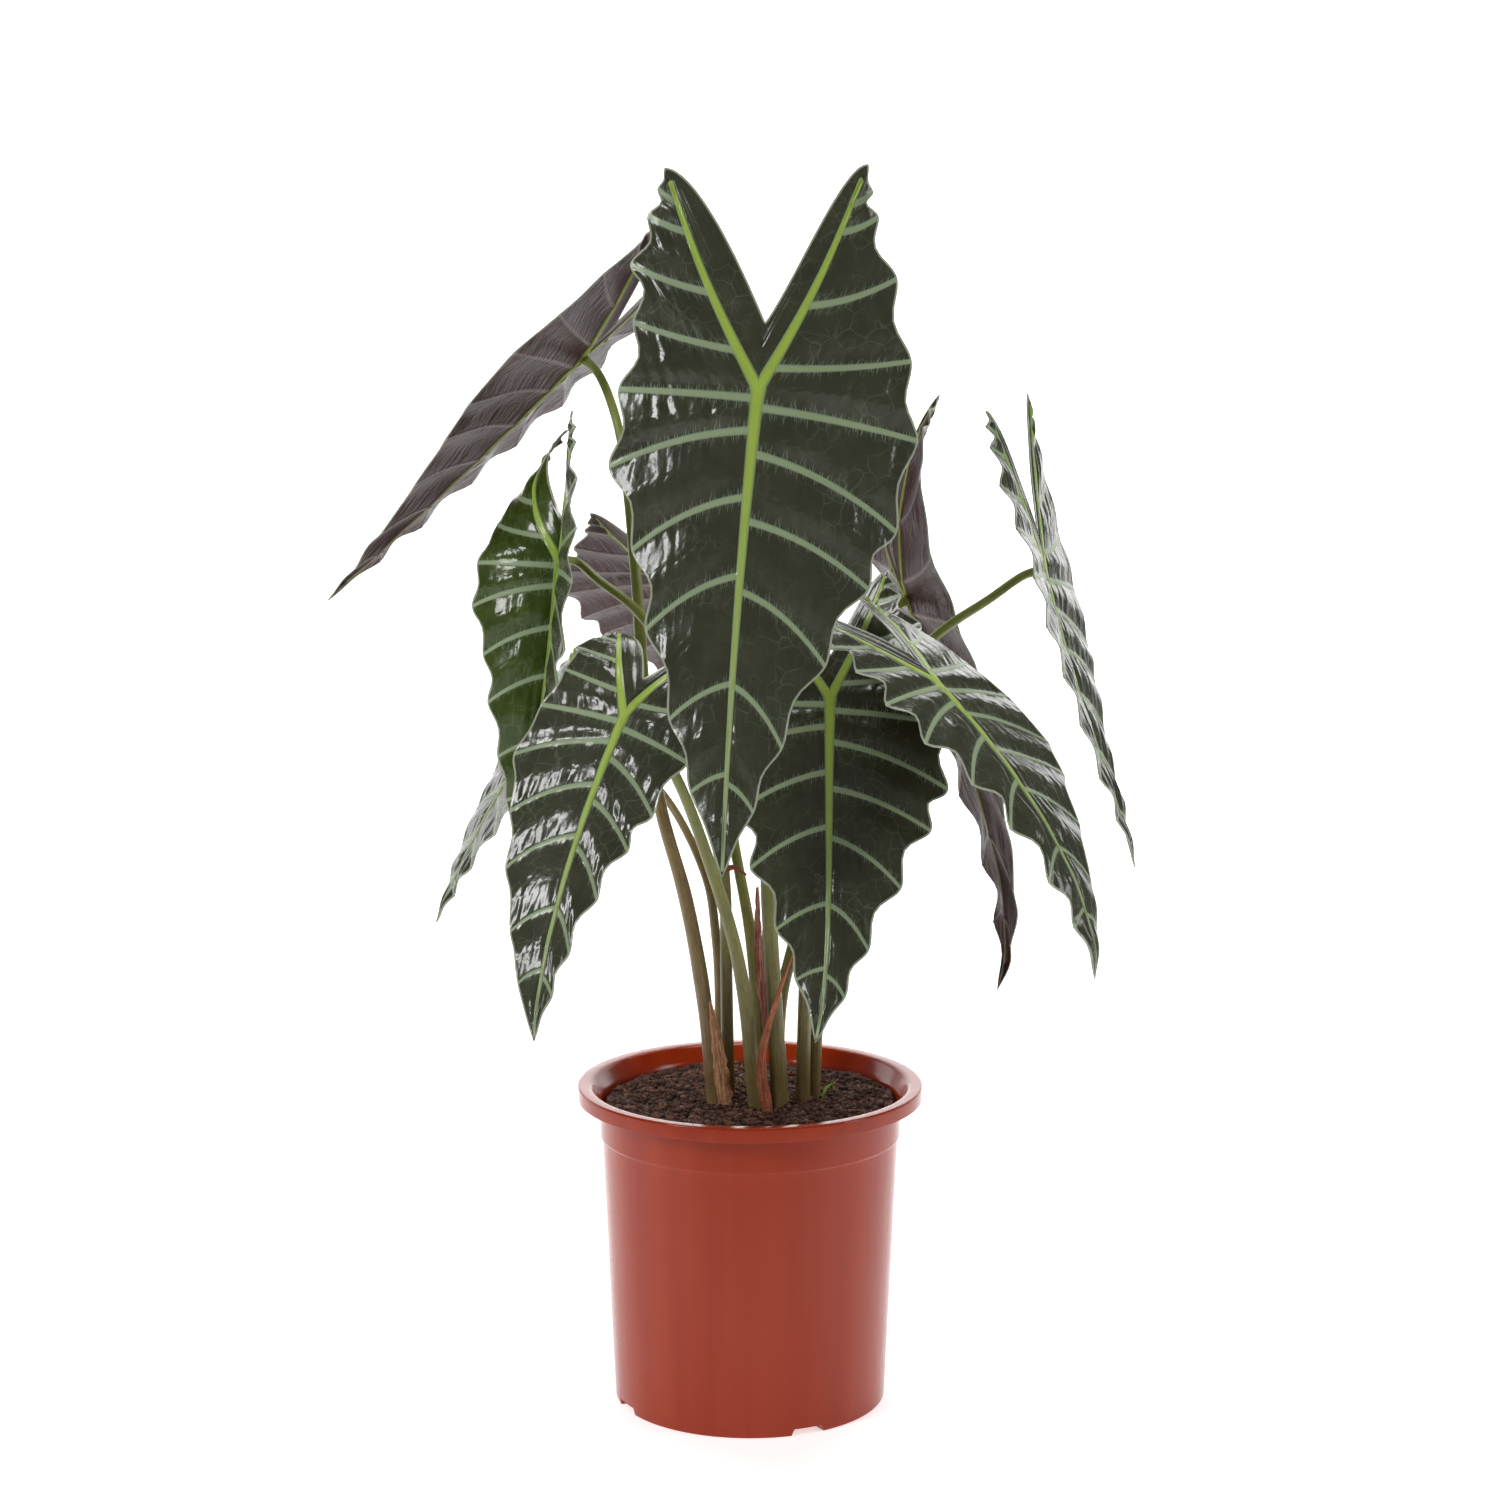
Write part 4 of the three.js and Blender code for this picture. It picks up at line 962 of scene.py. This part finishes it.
def rotations(angles, axis):
    """A rotation matrix for each angle, about the x axis (0) or the z axis (2)."""
    i, j = (axis + 1) % 3, (axis + 2) % 3
    made = np.zeros((len(angles), 3, 3))
    made[:, axis, axis] = 1
    made[:, i, i] = made[:, j, j] = np.cos(angles)
    made[:, j, i], made[:, i, j] = np.sin(angles), -np.sin(angles)
    return made


def build_crumbs(material, count, roughness):
    """Loose crumbs and chips lying on the soil: one rough twenty-sided shape, stretched, turned and sunk by
    seeded random numbers, more small ones than large."""
    rng = np.random.default_rng(11)
    corners, faces = crumb_shape()
    radius = (SOIL_EDGE - 4) * np.sqrt(rng.random(count))
    angle = 2 * np.pi * rng.random(count)
    size = 0.45 + 1.7 * rng.random(count) ** 3
    chip = rng.random(count) < 0.35
    stretch = np.stack([np.where(chip, 2.2, 1.0) + 0.5 * rng.random(count), np.where(chip, 0.7, 1.0),
                        np.where(chip, 0.45, 0.8)], -1)
    rough_corners = corners[None] * (1 + 0.35 * (rng.random((count, CRUMB_CORNERS, 1)) - 0.5))
    shape = rough_corners * (size[:, None] * stretch)[:, None]
    turn = rng.random((count, 3)) * [2 * np.pi, 0.7, 0.7] - [0, 0.35, 0.35]
    shape = np.einsum("nij,nkj->nki", rotations(turn[:, 0], 2) @ rotations(turn[:, 1], 0), shape)
    x, y = radius * np.cos(angle), radius * np.sin(angle)
    base = np.stack([x, y, soil_height(x, y, roughness) + 0.25 * size], -1)
    points = (shape + base[:, None]).reshape(-1, 3)
    triangles = (faces[None] + CRUMB_CORNERS * np.arange(count)[:, None, None]).reshape(-1, 3)
    tone = np.repeat(rng.random(count) * 0.5 - 0.22, CRUMB_CORNERS)
    piece("peat_crumbs", points, np.zeros((0, 4), int), triangles, [material], marks={"tone": tone})


def build_soil(material, roughness):
    """The soil: a round surface of noise out to the pot's wall, carried down the wall and in across the
    floor."""
    around, edge = 360, SOIL_EDGE
    angle = circle(around)
    radii = np.linspace(0.6, edge - 0.5, 96)
    x, y = radii[:, None] * np.cos(angle), radii[:, None] * np.sin(angle)
    top = np.stack([x, y, soil_height(x, y, roughness)], -1)
    floor = SOIL_LOW.z / MM
    foot = edge - SOIL_TAPER
    rings = [(edge, SOIL_LEVEL - 9), (mix(edge, foot, 0.5), mix(floor, SOIL_LEVEL, 0.5)), (foot, floor + 1),
             (foot - 1, floor), (foot * 0.5, floor), (1.0, floor)]
    lower = np.stack([np.stack([r * np.cos(angle), r * np.sin(angle), 0 * angle + z], -1) for r, z in rings])
    grid = np.concatenate([top, lower])
    points = np.vstack([grid.reshape(-1, 3), [0, 0, SOIL_LEVEL - SOIL_SINK], [0, 0, floor]])
    quads, triangles = capped_tube(len(grid), around)
    piece("peat_soil", points, quads, triangles, [material], "soil",
          {"tone": 0.06 * lattice_noise(points[:, :2], 9, 8)})


# ------------------------------------------------------------------------------------------ pot


# The foot's notches lift the ring's underside to this height.
NOTCH_TOP = 3.8
SEAM_HEIGHT = 0.12
SHARP_ANGLE = math.radians(38)


def rounded(profile, radii):
    """A profile with each corner replaced by a quadratic curve that starts and ends a radius from it."""
    made = []
    last = len(profile) - 1
    for i, (corner, radius) in enumerate(zip(profile, radii)):
        if i in (0, last) or radius == 0:
            made.append(corner)
            continue
        before, after = profile[i - 1] - corner, profile[i + 1] - corner
        a = corner + before * min(0.45, radius / np.linalg.norm(before))
        b = corner + after * min(0.45, radius / np.linalg.norm(after))
        for f in np.linspace(0, 1, 6):
            made.append((1 - f) ** 2 * a + 2 * (1 - f) * f * corner + f * f * b)
    return np.array(made)


def build_pot(sizes, material):
    """The pot: a rounded profile turned about its axis, with two low seams where the mould closed, notches in
    the foot ring and drain holes in the floor."""
    height, rim = POT_HIGH.z / MM, (POT_HIGH.x - POT_LOW.x) / 2 / MM
    wall, floor = sizes.wall / MM, sizes.floor / MM
    lip, lip_width = sizes.lip_height / MM, sizes.lip_width / MM
    collar, base, lift = sizes.collar_diameter / MM / 2, sizes.base_diameter / MM / 2, sizes.foot_lift / MM
    shoulder, top = collar - sizes.collar_step / MM, height - lip
    low = top - sizes.collar_height / MM
    throat, pad, ring = rim - lip_width, sizes.pad_radius / MM, base - sizes.ring_width / MM

    def wall_radius(z):
        return mix(base, shoulder, min(1, max(0, z / low)))

    # Each corner of the section, from the pad round the outside, over the lip and down to the floor, with how
    # far its rounding reaches.
    corners = [
        (pad, 0, 0.4), (pad + lift / 2, lift, 0.5), (ring - lift / 2, lift, 0.5), (ring, 0, 0.4),
        (base - 0.4, 0, 0.4), (wall_radius(1), 1, 0.4), (shoulder, low - 1, 0.5), (collar, low, 0.5),
        (collar, top, 1.5), (throat + wall * 0.7, height - wall, 0.6), (rim - wall, height - wall, 0.6),
        (rim - wall, top, 0.4), (rim, top, 0.4), (rim, height, 1.2), (throat, height, 2.5),
        (collar - wall, top - 1, 2.5), (shoulder - wall, low - 2, 1.0),
        (wall_radius(lift + floor) - wall, lift + floor, 2.0), (2, lift + floor, 0)]
    profile = rounded(np.array([corner[:2] for corner in corners]), [corner[2] for corner in corners])
    fine = [profile[0]]
    for a, b in zip(profile[:-1], profile[1:]):
        steps = max(1, int(np.linalg.norm(b - a) / 6))
        fine += [mix(a, b, k / steps) for k in range(1, steps + 1)]
    profile = np.array(fine)
    around = 288
    angle = circle(around)
    outside = np.arange(len(profile)) < len(profile) / 2  # the section's first half runs up the outside
    radius, z = profile[:, :1] + 0 * angle, profile[:, 1:] + 0 * angle
    outer = (profile[:, 0] > base - 1) & (profile[:, 1] < top - 0.5) & outside
    seam = SEAM_HEIGHT * (np.abs(np.sin(angle)) < 0.004 + 0.5 * np.pi / around)
    radius = radius + outer[:, None] * seam
    in_notch = np.zeros(around, bool)
    for k in range(sizes.notches):
        centre = math.radians(sizes.notch_turn) + 2 * np.pi * k / sizes.notches
        away = np.abs((angle - centre + np.pi) % (2 * np.pi) - np.pi)
        in_notch |= away * base < sizes.notch_width / MM / 2
    under_ring = (profile[:, 0] > ring - lift) & (profile[:, 1] < NOTCH_TOP) & outside
    z = np.where(under_ring[:, None] & in_notch, np.maximum(z, NOTCH_TOP), z)
    grid = np.stack([radius * np.cos(angle), radius * np.sin(angle), z], -1)
    points = np.vstack([grid.reshape(-1, 3), [0, 0, 0], [0, 0, lift + floor]])
    quads, triangles = capped_tube(len(profile), around)
    made = piece("nursery_pot", points, quads, triangles, [material], "pot")
    drill(made, sizes)


def drill(made, sizes):
    """Cuts the drain holes through the pot's floor and gives the result its sharp edges."""
    sides, low, high = 32, -5, 15
    hole = circle(sides)
    radius, reach = sizes.drain_diameter / MM / 2, sizes.drain_circle / MM / 2
    points, quads, triangles = [], [], []
    for k, turn in enumerate(circle(sizes.drain_holes)):
        cx, cy = reach * math.cos(turn), reach * math.sin(turn)
        x, y = cx + radius * np.cos(hole), cy + radius * np.sin(hole)
        points += [np.stack([x, y, 0 * hole + h], -1) for h in (low, high)]
        points.append([[cx, cy, low], [cx, cy, high]])
        side_faces, ends = capped_tube(2, sides, first=(2 * sides + 2) * k)
        quads.append(side_faces)
        triangles.append(ends)
    points = np.vstack(points)
    quads, triangles = outward(points, np.vstack(quads), np.vstack(triangles))
    mesh = bpy.data.meshes.new("drain_cutter")
    mesh.from_pydata((points * MM).tolist(), [], quads.tolist() + triangles.tolist())
    cutter = linked("drain_cutter", mesh)
    cut = made.modifiers.new("drain holes", "BOOLEAN")
    cut.operation, cut.solver, cut.object = "DIFFERENCE", "EXACT", cutter
    bpy.context.view_layer.update()
    holed = bpy.data.meshes.new_from_object(made.evaluated_get(bpy.context.evaluated_depsgraph_get()))
    made.modifiers.clear()
    made.data = holed
    holed.set_sharp_from_angle(angle=SHARP_ANGLE)
    bpy.data.objects.remove(cutter)


# ------------------------------------------------------------------------------------------ settings


def length(name, description, default):
    return FloatProperty(name=name, description=description, default=default, unit="LENGTH")


class AlocasiaPotSettings(bpy.types.PropertyGroup):
    """Sizes of the moulded pot that its own box doesn't give."""

    wall: length("Wall", "Thickness of the wall", 0.0018)
    floor: length("Floor", "Thickness of the floor", 0.0022)
    lip_height: length("Lip height", "Height of the turned-down lip", 0.008)
    lip_width: length("Lip width", "Width of the lip's flat top", 0.007)
    collar_diameter: length("Collar", "Diameter of the collar under the lip", 0.166)
    collar_height: length("Collar height", "Height of the collar", 0.020)
    collar_step: length("Collar step", "How far the collar stands out", 0.0012)
    base_diameter: length("Base", "Diameter at the foot", 0.150)
    pad_radius: length("Pad", "Radius of the pad under the middle", 0.028)
    ring_width: length("Ring", "Width of the foot ring", 0.008)
    foot_lift: length("Foot lift", "Height of the floor's raised channel", 0.004)
    notches: IntProperty(name="Notches", description="Notches in the foot ring", default=4, min=1)
    notch_width: length("Notch", "Width of a notch", 0.017)
    notch_turn: FloatProperty(name="Notch turn", description="Degrees round to the first notch", default=-65)
    drain_holes: IntProperty(name="Drain holes", description="Holes in the floor", default=8, min=1)
    drain_diameter: length("Hole", "Diameter of a drain hole", 0.010)
    drain_circle: length("Hole circle", "Diameter of the circle of holes", 0.096)


class AlocasiaPlantSettings(bpy.types.PropertyGroup):
    """Fineness of the plant's pieces."""

    stalk_sides: IntProperty(name="Stalk sides", description="Points round a stalk", default=28, min=8)
    stalk_step: length("Stalk step", "Spacing of points along a stalk", 0.0025)


class AlocasiaSoilSettings(bpy.types.PropertyGroup):
    """The soil's surface."""

    roughness: FloatProperty(name="Roughness", description="How uneven the surface is", default=1.0, min=0,
                             subtype="FACTOR")
    crumbs: IntProperty(name="Crumbs", description="Loose crumbs on the surface", default=6000, min=1)


class AlocasiaStageSettings(bpy.types.PropertyGroup):
    """Light and camera."""

    surround: FloatVectorProperty(name="Surround", description="Colour of the light from all round",
                                  default=srgb("#ffffff")[:3], subtype="COLOR")
    surround_strength: FloatProperty(name="Surround strength", description="Strength of that light",
                                     default=0.16, min=0)
    lens: FloatProperty(name="Lens", description="Focal length on a 36 mm sensor", default=79.92,
                        unit="CAMERA")
    distance: length("Distance", "From the camera to the pot's axis", 1.785)
    eye: length("Eye height", "Height of the camera", 0.656)
    pitch: FloatProperty(name="Pitch", description="How far the camera looks down",
                         default=math.radians(9.3), subtype="ANGLE")


# ------------------------------------------------------------------------------------------ operators

# The paper's extent in metres: its front edge, where it starts to rise, its top edge and its half width.
PAPER_FRONT, PAPER_BEND, PAPER_TOP, PAPER_SIDE = -4.0, 3.0, 4.5, 5.0

# Each soft light's name, place, point it faces, width and height in metres, and power in watts.
SOFTBOXES = (
    ("key_softbox", (-1.6, -1.4, 1.4), (0, 0, 0.4), (0.5, 0.8), 22),
    ("fill_softbox", (1.9, -0.6, 0.9), (0, 0, 0.35), (0.5, 1.2), 10),
    ("top_softbox", (0.2, 0.3, 2.2), (0, 0, 0.4), (0.8, 0.8), 18),
    ("back_left", (-1.4, 1.3, 0.9), (0, 0, 0.4), (0.6, 1.2), 5),
    ("back_right", (1.3, 1.9, 1.0), (0, 0, 0.4), (0.6, 1.2), 3),
    ("backdrop_wash", (0, 2.2, 2.8), (0, 4.0, 0.8), (3.0, 0.6), 110),
)


class ALOCASIA_OT_leaves(bpy.types.Operator):
    """Builds the ten leaf blades"""

    bl_idname = "alocasia.leaves"
    bl_label = "Leaves"

    def execute(self, context):
        upper, under = waxy_leaf_upper(), plum_leaf_under()
        for leaf in LEAVES:
            build_blade(leaf, upper, under)
        return {"FINISHED"}


class ALOCASIA_OT_stalks(bpy.types.Operator):
    """Builds the ten leaf stalks"""

    bl_idname = "alocasia.stalks"
    bl_label = "Stalks"

    def execute(self, context):
        settings = context.scene.alocasia_plant
        material = leaf_stalk()
        for leaf in LEAVES:
            build_stalk(leaf, material, settings.stalk_sides, settings.stalk_step / MM)
        return {"FINISHED"}


class ALOCASIA_OT_sheaths(bpy.types.Operator):
    """Builds the papery old sheaths, the green sheath's two wings and the seedling"""

    bl_idname = "alocasia.sheaths"
    bl_label = "Sheaths and seedling"

    def execute(self, context):
        for sheath in SHEATHS:
            name = sheath["name"]
            slot, dullness, ragged = DRY if name.startswith("dry") else GREEN
            material = papery_sheath(name.replace("_", " "), sheath["pale"], sheath["deep"], dullness)
            build_ribbon(name + "_strip", sheath, material, name, ragged)
        _, dullness, ragged = GREEN
        sprout = papery_sheath("seedling leaf", "#a9c95c", "#5f8a2c", dullness)
        build_ribbon("seedling_leaf", SEEDLING, sprout, "seedling", ragged)
        return {"FINISHED"}


class ALOCASIA_OT_soil(bpy.types.Operator):
    """Builds the soil and its loose crumbs"""

    bl_idname = "alocasia.soil"
    bl_label = "Soil"

    def execute(self, context):
        settings = context.scene.alocasia_soil
        material = damp_peat()
        build_soil(material, settings.roughness)
        build_crumbs(material, settings.crumbs, settings.roughness)
        return {"FINISHED"}


class ALOCASIA_OT_pot(bpy.types.Operator):
    """Builds the moulded nursery pot"""

    bl_idname = "alocasia.pot"
    bl_label = "Pot"

    def execute(self, context):
        build_pot(context.scene.alocasia_pot, moulded_polypropylene())
        return {"FINISHED"}


class ALOCASIA_OT_stage(bpy.types.Operator):
    """Sets up the pale floor, the soft lights and the camera"""

    bl_idname = "alocasia.stage"
    bl_label = "Stage"

    def execute(self, context):
        settings = context.scene.alocasia_stage
        scene = context.scene
        scene.view_settings.view_transform = "Standard"
        world = bpy.data.worlds.new("surround")
        scene.world = world
        world.use_nodes = True
        background = world.node_tree.nodes["Background"]
        background.inputs["Color"].default_value = (*settings.surround, 1)
        background.inputs["Strength"].default_value = settings.surround_strength

        # The paper lies flat, then rises behind in a quarter circle of one metre's radius.
        bend = np.linspace(0, np.pi / 2, 25)
        y = np.concatenate([[PAPER_FRONT], PAPER_BEND + np.sin(bend), [PAPER_BEND + 1]])
        z = np.concatenate([[0.0], 1.0 - np.cos(bend), [PAPER_TOP]])
        x = np.array([-PAPER_SIDE, 0, PAPER_SIDE])
        grid = np.stack(np.broadcast_arrays(x[None, :], y[:, None], z[:, None]), -1).reshape(-1, 3)
        mesh = bpy.data.meshes.new("studio_floor")
        mesh.from_pydata(grid.tolist(), [], grid_faces(len(y), 3).tolist())
        mesh.polygons.foreach_set("use_smooth", np.ones(len(mesh.polygons), bool))
        mesh.materials.append(pale_paper())
        floor = linked("studio_floor", mesh)

        for name, place, aim, size, power in SOFTBOXES:
            light = bpy.data.lights.new(name, "AREA")
            light.shape, light.size, light.size_y, light.energy = "RECTANGLE", *size, power
            made = linked(name, light)
            made.location = place
            x, y, z = np.array(aim, float) - np.array(place, float)
            made.rotation_euler = (math.atan2(np.hypot(x, y), -z), 0, math.atan2(x, -y) + math.pi)

        camera = bpy.data.cameras.new("camera")
        camera.sensor_width, camera.lens = 36, settings.lens
        camera.clip_start, camera.clip_end = 0.05, 50
        eye = linked("camera", camera)
        eye.location = (0, -settings.distance, settings.eye)
        eye.rotation_euler = (math.pi / 2 - settings.pitch, 0, 0)
        scene.camera = eye
        return {"FINISHED"}


class ALOCASIA_PT_panel(bpy.types.Panel):
    """Lists the pieces in the order they are built"""

    bl_idname = "ALOCASIA_PT_panel"
    bl_label = "Potted alocasia"
    bl_space_type = "VIEW_3D"
    bl_region_type = "UI"
    bl_category = "Alocasia"

    def draw(self, context):
        for settings, operators in PANEL_ROWS:
            box = self.layout.box()
            group = getattr(context.scene, settings)
            for key in group.__annotations__:
                box.prop(group, key)
            for operator in operators:
                box.operator(operator.bl_idname)


SETTINGS = {"alocasia_pot": AlocasiaPotSettings, "alocasia_plant": AlocasiaPlantSettings,
            "alocasia_soil": AlocasiaSoilSettings, "alocasia_stage": AlocasiaStageSettings}
OPERATORS = (ALOCASIA_OT_pot, ALOCASIA_OT_soil, ALOCASIA_OT_stalks, ALOCASIA_OT_leaves, ALOCASIA_OT_sheaths,
             ALOCASIA_OT_stage)
PANEL_ROWS = (("alocasia_pot", [ALOCASIA_OT_pot]), ("alocasia_soil", [ALOCASIA_OT_soil]),
              ("alocasia_plant", [ALOCASIA_OT_stalks, ALOCASIA_OT_leaves, ALOCASIA_OT_sheaths]),
              ("alocasia_stage", [ALOCASIA_OT_stage]))


def register():
    for group in SETTINGS.values():
        bpy.utils.register_class(group)
    for operator in OPERATORS:
        bpy.utils.register_class(operator)
    bpy.utils.register_class(ALOCASIA_PT_panel)
    for key, group in SETTINGS.items():
        setattr(bpy.types.Scene, key, PointerProperty(type=group))


def unregister():
    for key in SETTINGS:
        delattr(bpy.types.Scene, key)
    for made in (ALOCASIA_PT_panel, *reversed(OPERATORS), *SETTINGS.values()):
        bpy.utils.unregister_class(made)


def main():
    """Registers the add-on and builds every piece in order."""
    register()
    bpy.ops.alocasia.pot()
    bpy.ops.alocasia.soil()
    bpy.ops.alocasia.stalks()
    bpy.ops.alocasia.leaves()
    bpy.ops.alocasia.sheaths()
    bpy.ops.alocasia.stage()
    bpy.context.view_layer.update()


if __name__ == "__main__":
    main()
